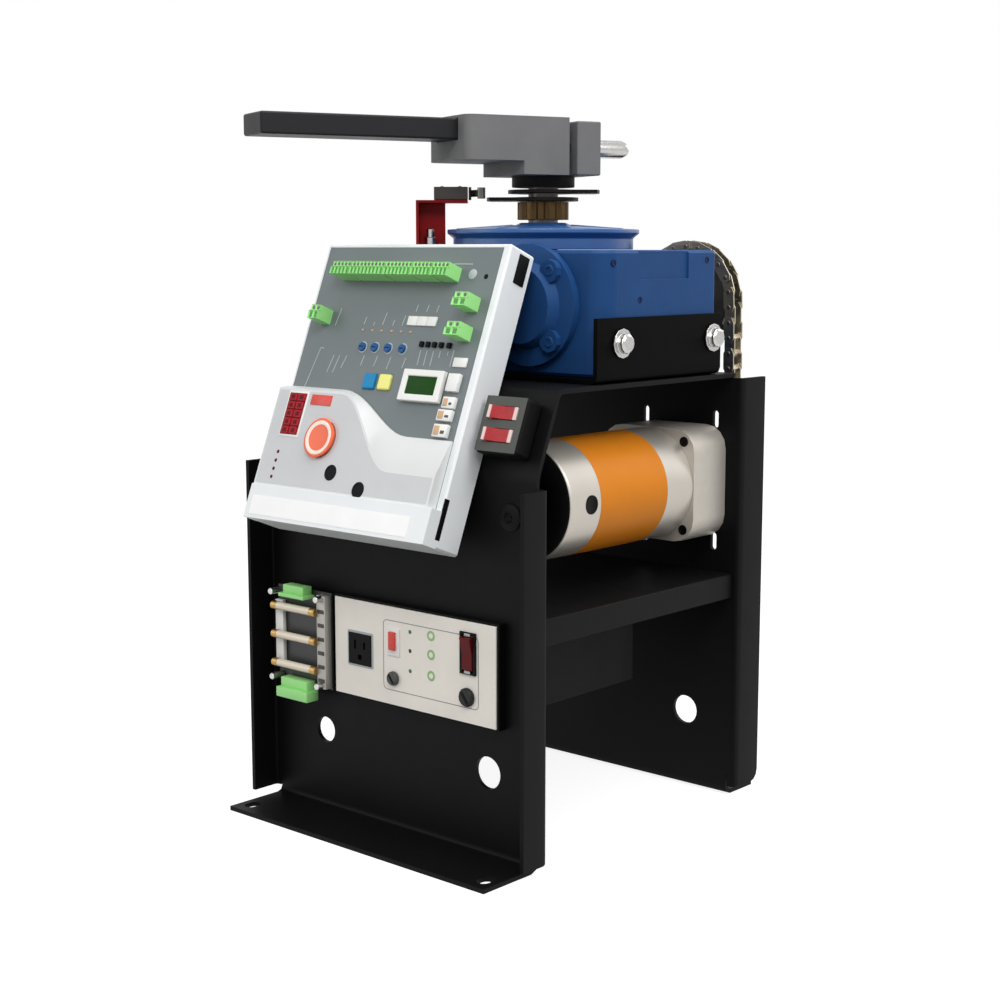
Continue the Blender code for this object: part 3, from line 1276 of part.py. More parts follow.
def control_fittings(tilt):
    face = -BOX_DEPTH - FIT
    depth = LCD_SIZE[1]
    x, z = LCD_CENTRE
    lcd = piece("lcd_module", block(LCD_SIZE, (x, face - depth / 2, z)), WHITE_PLASTIC, parent=tilt)
    window = block((LCD_WINDOW[0], 2 * LCD_WINDOW_DEPTH, LCD_WINDOW[1]), (x, face - depth, z))
    cut(lcd, helper(window, parent=tilt))

    left, right = TERMINAL_ROW
    low, high = TERMINAL_ROW_Z - TERMINAL_HEIGHT / 2, TERMINAL_ROW_Z + TERMINAL_HEIGHT / 2
    shape = span((left, face - TERMINAL_DEPTH, low), (right, face, high))
    row = piece("terminal_row", shape, TERMINAL_GREEN, parent=tilt)
    pitch = (right - left) / sum(TERMINAL_WAYS)
    passed = 0
    for ways in TERMINAL_WAYS[:-1]:
        passed += ways
        gap = block(
            (TERMINAL_GAP, 2 * (TERMINAL_DEPTH - TERMINAL_BASE), 2 * TERMINAL_HEIGHT),
            (left + passed * pitch, face - TERMINAL_DEPTH, TERMINAL_ROW_Z),
        )
        cut(row, helper(gap, parent=tilt))
    for name, z in (("terminal_right_upper", UPPER_TERMINAL_Z), ("terminal_right_lower", LOWER_TERMINAL_Z)):
        shape = span(
            (SIDE_TERMINAL_X - SIDE_TERMINAL_WIDTH / 2, face - TERMINAL_DEPTH, z - TERMINAL_HEIGHT / 2),
            (SIDE_TERMINAL_X + SIDE_TERMINAL_WIDTH / 2, face, z + TERMINAL_HEIGHT / 2),
        )
        piece(name, shape, TERMINAL_GREEN, parent=tilt)


def rocker_mesh(length, width, depth):
    """A paddle along X that is pressed towards +Y, with a shallow V across its face."""
    half = length / 2
    side = [(-half, depth), (-half, -depth), (0.0, -ROCKER_DISH * depth), (half, -depth), (half, depth)]
    return outline(side, width, -width / 2)


def rocker_box(tilt):
    depth = ROCKER_BOX_SIZE[1]
    x, z = ROCKER_BOX_CENTRE
    obj = piece("rocker_box", block(ROCKER_BOX_SIZE, (x, -depth / 2 - FIT, z)), BLACK_PLASTIC, parent=tilt)
    round_edges(obj, ROCKER_BOX_EDGE)
    face = -depth - FIT
    for name, up in (("rocker_upper", 1), ("rocker_lower", -1)):
        middle = z + up * ROCKER_OFFSET
        room = block(
            (ROCKER_LENGTH + 4 * RUN, 4 * ROCKER_DEPTH + 2 * RUN, ROCKER_WIDTH + 2 * FIT), (x, face, middle)
        )
        cut(obj, helper(room, parent=tilt))
        paddle = rocker_mesh(ROCKER_LENGTH, ROCKER_WIDTH, ROCKER_DEPTH)
        piece(name, paddle, ROCKER_RED, (x, face, middle), (0, 0, ROCKER_TILT), tilt)


def power_body_corners():
    """Corners of the power box's body, behind its frame."""
    inset = POWER_BODY_INSET
    low = (POWER_LEFT + inset, FRONT_Y - POWER_PROUD, POWER_BOTTOM + inset / 2)
    high = (POWER_RIGHT - inset, FRONT_Y + POWER_BODY_BACK, POWER_TOP - inset / 2)
    return low, high


def power_box():
    low, high = power_body_corners()
    obj = piece("power_box", span(low, high), BLACK_STEEL)
    frame = span(
        (POWER_LEFT - POWER_FRAME, FRONT_Y - POWER_PROUD, POWER_BOTTOM - POWER_FRAME),
        (POWER_RIGHT + POWER_FRAME, FRONT_Y - FIT, POWER_TOP + POWER_FRAME),
    )
    join(obj, helper(frame))
    wall = POWER_WALL
    inside = span(
        (low[0] + wall, low[1] - SHEET, low[2] + wall), (high[0] - wall, high[1] - wall, high[2] - wall)
    )
    cut(obj, helper(inside))
    return obj


def power_panel():
    back = FRONT_Y - POWER_PROUD - FIT
    plate = span((POWER_LEFT, back - POWER_SHEET, POWER_BOTTOM), (POWER_RIGHT, back, POWER_TOP))
    obj = piece("power_panel", plate, PALE_PANEL)
    side = OUTLET_SIDE + 2 * FIT
    cut(obj, helper(block((side, 4 * POWER_SHEET, side), (OUTLET_CENTRE[0], back, OUTLET_CENTRE[1]))))
    width, height = [length - 2 * SWITCH_NECK_INSET + 2 * FIT for length in SWITCH_FRAME]
    cut(obj, helper(block((width, 4 * POWER_SHEET, height), (SWITCH_CENTRE[0], back, SWITCH_CENTRE[1]))))
    for x, z, radius in (LEFT_FUSE, RIGHT_FUSE):
        hole = rod(FUSE_NECK * radius + FIT, -2 * POWER_SHEET, 2 * POWER_SHEET, 16)
        cut(obj, helper(hole, (x, back, z), TURN_Y))
    return obj


def power_fittings():
    face = FRONT_Y - POWER_PROUD - FIT - POWER_SHEET
    x, z = OUTLET_CENTRE
    shape = block((OUTLET_SIDE, OUTLET_DEPTH, OUTLET_SIDE), (x, face + OUTLET_DEPTH / 2 - OUTLET_PROUD, z))
    outlet = piece("outlet", shape, BLACK_PLASTIC)
    for dx, dz, width, height in OUTLET_HOLES:
        cut(outlet, helper(block((width, 2 * OUTLET_HOLE_DEPTH, height), (x + dx, face, z + dz))))

    x, z = SWITCH_CENTRE
    width, height = SWITCH_FRAME
    seat = face - FIT
    flange = block((width, SWITCH_LIP, height), (x, seat - SWITCH_LIP / 2, z))
    body = piece("power_switch_body", flange, BLACK_PLASTIC)
    inset = SWITCH_NECK_INSET
    neck = span(
        (x - width / 2 + inset, seat - SWITCH_LIP / 2, z - height / 2 + inset),
        (x + width / 2 - inset, seat + SWITCH_NECK_DEPTH, z + height / 2 - inset),
    )
    join(body, helper(neck))
    room = block(
        (POWER_ROCKER_WIDTH + 2 * FIT, 2 * SWITCH_ROOM, POWER_ROCKER_LENGTH + 4 * RUN), (x, face, z)
    )
    cut(body, helper(room))
    paddle = rocker_mesh(POWER_ROCKER_LENGTH, POWER_ROCKER_WIDTH, ROCKER_DEPTH)
    turned(paddle, (0, 0, ROCKER_TILT))
    piece("power_rocker", paddle, ROCKER_RED, (x, face - SWITCH_LIP, z), (0, math.pi / 2, 0))

    for name, (x, z, radius) in (("fuse_holder_left", LEFT_FUSE), ("fuse_holder_right", RIGHT_FUSE)):
        profile = [
            (0.0, FUSE_DEPTH),
            (FUSE_NECK * radius, FUSE_DEPTH),
            (FUSE_NECK * radius, -FIT),
            (radius, -FIT),
            (radius, -FUSE_CAP_EDGE),
            (0.8 * radius, -FUSE_CAP),
            (0.0, -FUSE_CAP),
        ]
        revolve(name, profile, BLACK_PLASTIC, 14, (x, face, z), TURN_Y)


def surge_module():
    back = FRONT_Y - SURGE_STANDOFF
    face = back - SURGE_SHEET
    plate = span((SURGE_LEFT, face, SURGE_BOTTOM), (SURGE_RIGHT, back, SURGE_TOP))
    board = piece("surge_board", plate, BLACK_PLASTIC)
    rail_face = face - SURGE_RAIL_DEPTH
    inside = back - SURGE_SHEET / 2
    rail = span(
        (SURGE_LEFT, rail_face, TUBE_HEIGHTS[-1] - TUBE_RADIUS),
        (SURGE_LEFT + SURGE_RAIL, inside, TUBE_HEIGHTS[0] + TUBE_RADIUS),
    )
    join(board, helper(rail))
    inset = SURGE_STRIP_INSET
    strip = span(
        (SURGE_RIGHT - SURGE_STRIP, face - SURGE_STRIP_DEPTH, SURGE_BOTTOM + inset),
        (SURGE_RIGHT - inset / 2, inside, SURGE_TOP - inset),
    )
    join(board, helper(strip))
    for x in (SURGE_LEFT + SURGE_PEG_INSET, SURGE_RIGHT - SURGE_PEG_INSET - inset):
        for z in (SURGE_BOTTOM + SURGE_PEG_INSET, SURGE_TOP - SURGE_PEG_INSET):
            join(board, helper(rod(SURGE_PEG, -SURGE_PEG_LENGTH, -FIT, 8), (x, FRONT_Y, z), TURN_Y))
    for k, z in enumerate(TUBE_HEIGHTS):
        start, end = SURGE_LEFT + inset / 2, SURGE_RIGHT - SURGE_STRIP - FIT
        waist = TUBE_WAIST * TUBE_RADIUS
        profile = [
            (0.0, end), (TUBE_RADIUS, end), (TUBE_RADIUS, end - TUBE_CAP), (waist, end - TUBE_CAP),
            (waist, start + TUBE_CAP), (TUBE_RADIUS, start + TUBE_CAP), (TUBE_RADIUS, start), (0.0, start),
        ]
        revolve(f"surge_fuse_{k + 1}", profile, CERAMIC, 10, (0, rail_face - FIT - TUBE_RADIUS, z), TURN_X)
    plugs = (("surge_plug_top", TOP_PLUG), ("surge_plug_bottom", BOTTOM_PLUG))
    for name, (left, right, low, high) in plugs:
        piece(name, span((left, face - FIT - PLUG_DEPTH, low), (right, face - FIT, high)), TERMINAL_GREEN)


def limit_lever():
    """Lever with a roller, on an upright pivot at the inner end of the limit switch."""
    axis = Matrix.Rotation(SWITCH_ANGLE, 4, "Z")
    base = BRACKET_TOP + FIT
    reach = CAM_LOBE + RUN + LEVER_ROLLER
    hinge = axis @ Vector((BRACKET_IN - LEVER_PIVOT - 2 * FIT, -SWITCH_WIDTH / 2, 0))
    tip_x = reach - (BRACKET_IN - LEVER_PIVOT - 2 * FIT)
    place = (SHAFT_X + hinge.x, SHAFT_Y + hinge.y, 0)
    turn = (0, 0, SWITCH_ANGLE)
    obj = piece("limit_lever", rod(LEVER_PIVOT, base, base + SWITCH_HEIGHT, 8), BRIGHT_STEEL, place, turn)
    angle = math.atan2(LEVER_LENGTH, tip_x)
    length = math.hypot(LEVER_LENGTH, tip_x)
    strip = span(
        (0, -LEVER_STRIP / 2, base + LEVER_INSET),
        (length, LEVER_STRIP / 2, base + SWITCH_HEIGHT - LEVER_INSET),
    )
    join(obj, helper(turned(strip, (0, 0, angle)), place, turn))
    roller = rod(LEVER_ROLLER, base + ROLLER_INSET, base + SWITCH_HEIGHT - ROLLER_INSET, 12)
    roller.transform(Matrix.Translation((tip_x, LEVER_LENGTH, 0)))
    join(obj, helper(roller, place, turn))
    return obj


def main():
    front_panel()
    back_panel()
    shelf()
    gearbox_cradle()
    cradle_bolts()
    gearbox_housing()
    gearbox_top_cover()
    worm_front_cover()
    gearbox_bearings()
    worm_shaft()
    worm_wheel()
    output_shaft()
    motor()
    drive_chain()
    sprockets()
    arm()
    cams()
    limit_switch()
    limit_lever()
    tilt = control_frame()
    control_housing(tilt)
    control_faceplate(tilt)
    control_cover(tilt)
    control_buttons(tilt)
    control_fittings(tilt)
    rocker_box(tilt)
    power_box()
    power_panel()
    power_fittings()
    surge_module()


main()
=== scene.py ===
"""Looks of a chain-driven swing-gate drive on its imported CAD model, laid out as a Blender add-on."""

import json
import math

import bmesh
import bpy
from mathutils import Matrix, Vector


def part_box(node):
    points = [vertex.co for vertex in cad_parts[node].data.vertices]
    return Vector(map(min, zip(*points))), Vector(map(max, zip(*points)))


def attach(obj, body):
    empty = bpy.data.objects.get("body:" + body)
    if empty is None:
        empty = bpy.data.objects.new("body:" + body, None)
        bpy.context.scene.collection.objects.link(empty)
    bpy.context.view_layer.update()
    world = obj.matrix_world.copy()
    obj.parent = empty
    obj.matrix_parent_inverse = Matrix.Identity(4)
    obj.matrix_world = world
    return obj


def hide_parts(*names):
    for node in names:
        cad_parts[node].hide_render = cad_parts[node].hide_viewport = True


bl_info = {
    "name": "Swing gate drive",
    "version": (1, 0, 0),
    "blender": (4, 5, 0),
    "location": "View3D > Sidebar > Gate drive",
    "description": "Builds the finishes and small fittings of a chain-driven swing-gate drive",
    "category": "Object",
}

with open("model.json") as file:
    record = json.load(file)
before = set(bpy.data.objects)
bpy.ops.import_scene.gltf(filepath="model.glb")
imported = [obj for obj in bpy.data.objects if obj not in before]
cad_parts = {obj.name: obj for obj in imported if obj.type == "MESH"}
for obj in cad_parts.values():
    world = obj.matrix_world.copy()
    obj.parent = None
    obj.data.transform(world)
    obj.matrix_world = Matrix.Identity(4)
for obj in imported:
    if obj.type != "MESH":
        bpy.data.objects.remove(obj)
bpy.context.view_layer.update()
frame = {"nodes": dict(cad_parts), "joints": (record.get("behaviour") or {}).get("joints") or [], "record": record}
BODY_OF = {node: body for body, nodes in frame["record"]["behaviour"]["bodies"].items() for node in nodes}
JOINTS = {joint["name"]: joint for joint in frame["joints"]}
MM = 0.001
FRONT = (0.0, -1.0, 0.0)
BACK = (0.0, 1.0, 0.0)
LEFT = (-1.0, 0.0, 0.0)
RIGHT = (1.0, 0.0, 0.0)
UP = (0.0, 0.0, 1.0)
WHITE = (1.0, 1.0, 1.0, 1.0)
PANEL_FRONT = 35.0 * MM  # front of the front panel's plate, along Y
POSTS = (28.6, 36.9, 45.2, 53.9, 63.8)  # jumper posts across the control face, in millimetres


def linear(code):
    """Linear colour of an sRGB hex value."""
    parts = [int(code[k : k + 2], 16) / 255 for k in (1, 3, 5)]
    return tuple(p / 12.92 if p <= 0.04045 else ((p + 0.055) / 1.055) ** 2.4 for p in parts)


def colour(name, description, code):
    return bpy.props.FloatVectorProperty(
        name=name, description=description, default=linear(code), subtype="COLOR", size=3, min=0.0, max=1.0
    )


def length(name, description, millimetres):
    return bpy.props.FloatProperty(
        name=name, description=description, default=millimetres * MM, unit="LENGTH", min=0.0
    )


class GateDriveColours(bpy.types.PropertyGroup):
    """Colours of the painted, moulded and plated surfaces."""

    chassis: colour("Chassis", "Powder coat of the folded sheets", "#0c0c0d")
    casting: colour("Gearbox", "Enamel of the gearbox castings", "#1f4577")
    clamp: colour("Clamp", "Paint of the arm clamp", "#737374")
    bar: colour("Arm", "Finish of the arm bar", "#1f1f21")
    bracket: colour("Limit bracket", "Enamel of the limit switch bracket", "#8c1418")
    motor: colour("Motor", "Lacquered motor tube", "#c3bdb4")
    band: colour("Motor band", "Film round the motor", "#d98220")
    housing: colour("Control box", "Housing", "#e4e7e9")
    cover: colour("Cover", "Sloping edge of the lower cover", "#d8dada")
    plateau: colour("Cover film", "Film on the flat of the lower cover", "#c3c5c7")
    face: colour("Control face", "Film on the control faceplate", "#687173")
    terminal: colour("Terminals", "Plug-in terminal blocks", "#9ce389")
    stop: colour("Stop button", "Stop button's cap", "#ea5f30")
    blue: colour("Blue key", "Blue key's cap", "#1a84b8")
    yellow: colour("Yellow key", "Yellow key's cap", "#ebe77a")
    power: colour("Power panel", "Paint of the power panel", "#ece7de")


class GateDriveSizes(bpy.types.PropertyGroup):
    """Sizes of the fittings and of the rounding on edges."""

    sheet_edge: length("Sheet edge", "Rounding on the cut edges of the sheets", 0.8)
    casting_edge: length("Casting edge", "Rounding on the edges of the castings", 2.2)
    moulding_edge: length("Moulding edge", "Rounding on the edges of the mouldings", 1.4)
    fine_edge: length("Fine edge", "Rounding on small turned and cut pieces", 0.4)
    terminal_gap: length("Terminal gap", "Gap between two ways of a terminal block", 0.35)
    trimmer: length("Trimmer", "Radius of a trimmer", 4.4)
    lamp: length("Lamp", "Radius of an indicator lamp", 1.4)
    line: length("Printed line", "Width of a printed line", 0.7)
    film: length("Film", "Thickness of a film or a print", 0.25)


def sizes():
    return bpy.context.scene.gate_drive_sizes


def add(tree, kind, settings=None, **links):
    """Adds a node, sets its inputs or its own properties by name, and links sockets to its inputs."""
    node = tree.nodes.new(kind)
    for key, value in (settings or {}).items():
        if key in node.inputs:
            node.inputs[key].default_value = value
        else:
            setattr(node, key, value)
    for key, socket in links.items():
        tree.links.new(socket, node.inputs[key.replace("_", " ")])
    return node


def calculate(tree, operation, *terms):
    """Result of a calculation on sockets and numbers."""
    node = add(tree, "ShaderNodeMath", {"operation": operation})
    for socket, term in zip(node.inputs, terms):
        if isinstance(term, float):
            socket.default_value = term
        else:
            tree.links.new(term, socket)
    return node.outputs[0]


def join(tree, kind, first, second, **links):
    """Result of two shaders that are mixed or added."""
    node = add(tree, kind, **links)
    tree.links.new(first, node.inputs[-2])
    tree.links.new(second, node.inputs[-1])
    return node.outputs[0]


def noise(tree, place, size, detail=4.0):
    """Noise with features this many millimetres across, on coordinates in metres."""
    settings = {"Scale": 1.0 / (size * MM), "Detail": detail}
    return add(tree, "ShaderNodeTexNoise", settings, Vector=place).outputs["Fac"]


def drift(tree, socket, amount, least, greatest):
    """Lets a value drift between two limits."""
    span = add(tree, "ShaderNodeMapRange", {"To Min": least, "To Max": greatest}, Value=amount)
    tree.links.new(span.outputs["Result"], socket)


def raised(tree, shader, height, depth, strength):
    """Bumps the surface by a height socket, in millimetres from its lowest to its highest."""
    bump = add(tree, "ShaderNodeBump", {"Distance": depth * MM, "Strength": strength}, Height=height)
    tree.links.new(bump.outputs["Normal"], shader.inputs["Normal"])


def shade(tint, factor):
    return (*(min(1.0, channel * factor) for channel in tint), 1.0)


def inside(material):
    """A material's node tree, its shader and the object coordinates."""
    tree = material.node_tree
    return tree, tree.nodes["Principled BSDF"], tree.nodes["Texture Coordinate"].outputs["Object"]


def surface(name, tint, roughness, clouds, wear=None, grain=None, metallic=0.0, ior=1.5, specular=0.5):
    """A new material, its detail from real sizes in millimetres.

    clouds: size, darkest and lightest tone, and the detail if it isn't the usual one;
    wear: size, least and greatest roughness; grain: size, detail, depth and strength of the bumps.
    """
    material = bpy.data.materials.new(name)
    material.use_nodes = True
    material.node_tree.nodes.new("ShaderNodeTexCoord")
    tree, shader, place = inside(material)
    settings = {"Base Color": (*tint, 1.0), "Roughness": roughness, "Metallic": metallic}
    settings |= {"IOR": ior, "Specular IOR Level": specular}
    for key, value in settings.items():
        shader.inputs[key].default_value = value
    size, dark, light, *detail = clouds
    tones = {"Color1": shade(tint, dark), "Color2": shade(tint, light)}
    mix = add(tree, "ShaderNodeMixRGB", tones, Fac=noise(tree, place, size, *detail))
    tree.links.new(mix.outputs["Color"], shader.inputs["Base Color"])
    if wear:
        size, smooth, rough = wear
        drift(tree, shader.inputs["Roughness"], noise(tree, place, size, 3.0), smooth, rough)
    if grain:
        size, detail, depth, strength = grain
        raised(tree, shader, noise(tree, place, size, detail), depth, strength)
    return material


def powder_coat(name, tint, specular=0.5):
    """Polyester powder baked on steel: satin, with a fine orange peel that breaks up the reflections."""
    # The peel is about 1 mm across on the real coat, and is drawn at 2.2 mm so that it shows.
    peel = (2.2, 2.0, 0.10, 0.35)
    return surface(name, tint, 0.46, (60.0, 0.86, 1.16), (25.0, 0.4, 0.54), peel, specular=specular)


def enamelled_casting(name, tint, roughness=0.42, specular=0.1):
    """Thick enamel sprayed on sand-cast iron: a soft gloss over the lumps that the sand leaves."""
    wear = (18.0, roughness - 0.06, roughness + 0.12)
    sand = (3.0, 3.0, 0.25, 0.4)
    return surface(name, tint, roughness, (35.0, 0.84, 1.12), wear, sand, specular=specular)


def plated_steel(name, tint, roughness):
    """Zinc, nickel or oil on turned steel: a metal sheen, faintly marked by the bath and by handling."""
    wear = (4.0, roughness - 0.08, roughness + 0.12)
    scuffs = (1.5, 3.0, 0.03, 0.3)
    return surface(name, tint, roughness, (6.0, 0.8, 1.08), wear, scuffs, metallic=1.0)


def drawn_tube(name, tint):
    """Lacquered steel tube: a soft metal sheen with fine rings left by turning, close together along Y."""
    material = surface(name, tint, 0.4, (40.0, 0.92, 1.04), metallic=0.6)
    tree, shader, place = inside(material)
    along = add(tree, "ShaderNodeMapping", {"Scale": (0.02, 1.0, 0.02)}, Vector=place).outputs["Vector"]
    # The rings are about 0.2 mm apart and are drawn at 1.2 mm so that they show.
    rings = noise(tree, along, 1.2, 2.0)
    drift(tree, shader.inputs["Roughness"], rings, 0.34, 0.48)
    raised(tree, shader, rings, 0.04, 0.3)
    return material


def die_casting(name, tint):
    """Blasted die-cast aluminium: even, dull and slightly grainy."""
    return surface(name, tint, 0.5, (12.0, 0.9, 1.05), grain=(1.4, 3.0, 0.08, 0.4), metallic=0.6)


def moulded_plastic(name, tint, roughness=0.42, specular=0.5):
    """Injection moulded ABS or nylon: even colour and a fine spark-eroded grain from the mould."""
    pits = (0.8, 2.0, 0.04, 0.3)
    return surface(name, tint, roughness, (30.0, 0.95, 1.03), None, pits, ior=1.53, specular=specular)


def printed_film(name, tint, roughness=0.42, specular=0.5):
    """Printed vinyl or polyester film: flat and even, with a faint ripple from the glue below."""
    ripple = (9.0, 1.0, 0.05, 0.25)
    return surface(name, tint, roughness, (25.0, 0.95, 1.04), None, ripple, specular=specular)


def moulded_lens(name, tint, roughness=0.2, specular=0.3):
    """Tinted acrylic: clear depth under a polished face."""
    wear = (5.0, roughness, roughness + 0.08)
    return surface(name, tint, roughness, (3.0, 0.8, 1.12), wear, ior=1.49, specular=specular)


def tinted_lens_painted_highlights(name, tint, highlight_tint, middle, reach):
    """Tinted acrylic rocker, with pale ends beyond this reach each side along X: painted highlights."""
    material = surface(name, tint, 0.24, (4.0, 0.75, 1.2, 2.0), ior=1.49, specular=0.2)
    tree, shader, place = inside(material)
    across = add(tree, "ShaderNodeSeparateXYZ", Vector=place).outputs["X"]
    away = calculate(tree, "ABSOLUTE", calculate(tree, "SUBTRACT", across, middle))
    blur = 0.4 * MM
    step = add(tree, "ShaderNodeMapRange", {"From Min": reach - blur, "From Max": reach + blur}, Value=away)
    clouds = shader.inputs["Base Color"].links[0].from_socket
    # Pale ends of each rocker: painted highlights.
    ends = {"Color2": (*highlight_tint, 1.0)}
    mix = add(tree, "ShaderNodeMixRGB", ends, Fac=step.outputs["Result"], Color1=clouds)
    tree.links.new(mix.outputs["Color"], shader.inputs["Base Color"])
    return material


def glazed_ceramic(name, tint):
    """Glazed steatite: creamy, with a glossy skin over faint specks."""
    return surface(name, tint, 0.22, (2.5, 0.9, 1.05), (4.0, 0.18, 0.3), ior=1.55)


def rocker_span():
    """Middle of the two rockers along X, and how far their tinted part reaches each side before the painted
    highlights.
    """
    low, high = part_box("rocker_upper")
    return (low.x + high.x) / 2, (high.x - low.x) * 0.38


def finish_table():
    """Every finish by name: the record's slot it belongs to, its material's maker and what that is given."""
    c = bpy.context.scene.gate_drive_colours
    return {
        "powder_coated_steel": ("black_steel", powder_coat, c.chassis, 0.08),
        # A darker copy of the chassis powder coat for the cradle: painted shade.
        "powder_coated_cradle": ("black_steel", powder_coat, "#040404", 0.03),
        "powder_coated_bar": ("black_steel", powder_coat, c.bar, 0.15),
        "painted_panel": ("pale_panel", powder_coat, c.power),
        "enamelled_gearbox": ("blue_paint", enamelled_casting, c.casting),
        # A lighter copy of the gearbox enamel for the top cover and its webs: painted light on the top.
        "enamelled_cover": ("blue_paint", enamelled_casting, "#265590", 0.3, 0.6),
        # Near-black blue: painted shade inside the housing's side holes and the screw sockets.
        "dark_blue_enamel": ("blue_paint", enamelled_casting, "#0c1a45", 0.5),
        "painted_clamp": ("grey_cast", enamelled_casting, c.clamp, 0.52),
        "enamelled_bracket": ("red_steel", enamelled_casting, c.bracket, 0.32),
        "polished_steel": ("bright_steel", plated_steel, "#bfbebc", 0.2),
        "zinc_plate": ("bright_steel", plated_steel, "#c9c8c6", 0.28),
        "nickel_plate": ("bright_steel", plated_steel, "#b5ad9b", 0.32),
        "oiled_steel": ("dark_steel", plated_steel, "#6a6763", 0.4),
        "black_oxide_steel": ("dark_steel", plated_steel, "#1d1c1c", 0.48),
        "machined_bronze": ("bronze", plated_steel, "#4a3a25", 0.36),
        "tinned_brass": ("bronze", plated_steel, "#a98a58", 0.34),
        "lacquered_motor_tube": ("motor_steel", drawn_tube, c.motor),
        "die_cast_bell": ("bell_metal", die_casting, c.motor),
        "moulded_housing": ("silver_plastic", moulded_plastic, c.housing),
        "moulded_cover": ("silver_plastic", moulded_plastic, c.cover),
        "cover_film": ("silver_plastic", printed_film, c.plateau),
        # Black nylon for the black parts, and also painted shade: black studs and bars in holes and slots.
        "black_nylon": ("black_plastic", moulded_plastic, "#0a0a0b", 0.55, 0.08),
        "dark_grey_nylon": ("black_plastic", moulded_plastic, "#202121", 0.5, 0.2),
        "grey_nylon": ("black_plastic", moulded_plastic, "#4f514d", 0.5, 0.15),
        "terminal_nylon": ("terminal_green", moulded_plastic, c.terminal),
        # Darker green for the bottoms of the wire entries: painted shade.
        "terminal_shade": ("terminal_green", moulded_plastic, "#3f8a36"),
        "white_nylon": ("white_plastic", moulded_plastic, "#e9e9e6"),
        "tan_nylon": ("ceramic", moulded_plastic, "#c9a077"),
        "switch_phenolic": ("black_plastic", moulded_plastic, "#2b211b"),
        "rubber_grommet": ("black_plastic", moulded_plastic, "#0b0b0c", 0.6, 0.1),
        "stop_cap": ("stop_orange", moulded_plastic, c.stop, 0.36),
        "stop_ring": ("white_plastic", moulded_plastic, "#f6e3d3", 0.36),
        "blue_cap": ("key_blue", moulded_plastic, c.blue, 0.36, 0.15),
        "yellow_cap": ("key_yellow", moulded_plastic, c.yellow, 0.32),
        "trimmer_blue": ("key_blue", moulded_plastic, "#17518a", 0.36, 0.2),
        "board_laminate": ("black_plastic", moulded_plastic, "#191c1b", 0.45),
        "varistor_strip": ("bright_steel", die_casting, "#a9a6a0"),
        "face_film": ("face_grey", printed_film, c.face, 0.45, 0.4),
        "orange_film": ("stop_orange", printed_film, c.band, 0.42, 0.12),
        "white_film": ("white_plastic", printed_film, "#f2f3f2"),
        "pale_print": ("face_grey", printed_film, "#aab1b2", 0.5),
        "grey_print": ("face_grey", printed_film, "#77787a", 0.5),
        "green_print": ("terminal_green", printed_film, "#8fb678", 0.5),
        "red_lens": ("rocker_red", moulded_lens, "#a00d1d", 0.3, 0.15),
        "dark_red_lens": ("rocker_red", moulded_lens, "#5e0b15", 0.4, 0.1),
        "red_lamp": ("rocker_red", moulded_lens, "#d9493f"),
        "green_lamp": ("terminal_green", moulded_lens, "#4a7c5c"),
        "dim_lamp": ("rocker_red", moulded_lens, "#4d2a33"),
        "display_glass": ("black_plastic", moulded_lens, "#1a4414", 0.4, 0.08),
        # Pale ends on the red rockers: painted highlights.
        "rocker_lens": ("rocker_red", tinted_lens_painted_highlights, "#a4242a", linear("#dcc4c0"), *rocker_span()),
        "power_rocker_lens": ("rocker_red", moulded_lens, "#5c0b10", 0.3, 0.15),
        "glazed_tube": ("ceramic", glazed_ceramic, "#e9dcc8"),
    }


def finish(name):
    """A material by name, made when it is first asked for."""
    made = bpy.data.materials.get(name)
    if made:
        return made
    maker, tint, *values = finish_table()[name][1:]
    return maker(name, linear(tint) if isinstance(tint, str) else tint, *values)


def baked(name, bm):
    """A mesh of a bmesh, which is freed."""
    mesh = bpy.data.meshes.new(name)
    bm.to_mesh(mesh)
    bm.free()
    return mesh


def shown(name, data):
    """A new object of a mesh, a lamp or a camera, in the scene."""
    obj = bpy.data.objects.new(name, data)
    bpy.context.scene.collection.objects.link(obj)
    return obj


def piece(name, bm, finish_name, body="chassis", replaces=(), place=None, angle=38.0):
    """Makes an object of a bmesh, with its place in its mesh, and lets it ride on a body."""
    if place is not None:
        bm.transform(place)
    bmesh.ops.recalc_face_normals(bm, faces=bm.faces[:])
    mesh = baked(name, bm)
    mesh.shade_smooth()
    mesh.set_sharp_from_angle(angle=math.radians(angle))
    mesh.materials.append(finish(finish_name))
    obj = shown(name, mesh)
    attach(obj, body)
    if replaces:
        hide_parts(*replaces)
    return obj


def bevel(bm, geom, radius, segments, affect):
    bmesh.ops.bevel(
        bm,
        geom=geom,
        offset=radius,
        offset_type="OFFSET",
        segments=segments,
        profile=0.5,
        affect=affect,
        clamp_overlap=True,
        material=-1,
    )


def round_edges(bm, radius, segments=2):
    """Rounds every edge that turns by more than 30 degrees."""
    limit = math.radians(30.0)
    sharp = [edge for edge in bm.edges if len(edge.link_faces) == 2 and edge.calc_face_angle(0.0) > limit]
    bevel(bm, sharp, radius, segments, "EDGES")


def cad_copy(node, whole=True):
    """A merged copy of a CAD node's mesh, with its flat faces whole unless they frame an opening."""
    bm = bmesh.new()
    bm.from_mesh(frame["nodes"][node].data)
    bmesh.ops.remove_doubles(bm, verts=bm.verts[:], dist=0.01 * MM)
    if whole:
        flat = math.radians(0.5)
        bmesh.ops.dissolve_limit(bm, angle_limit=flat, verts=bm.verts[:], edges=bm.edges[:])
    return bm


def even_flats(obj):
    """Keeps the shading of large flat faces even, next to their rounded edges."""
    even = obj.modifiers.new("even_flats", "WEIGHTED_NORMAL")
    even.keep_sharp = True


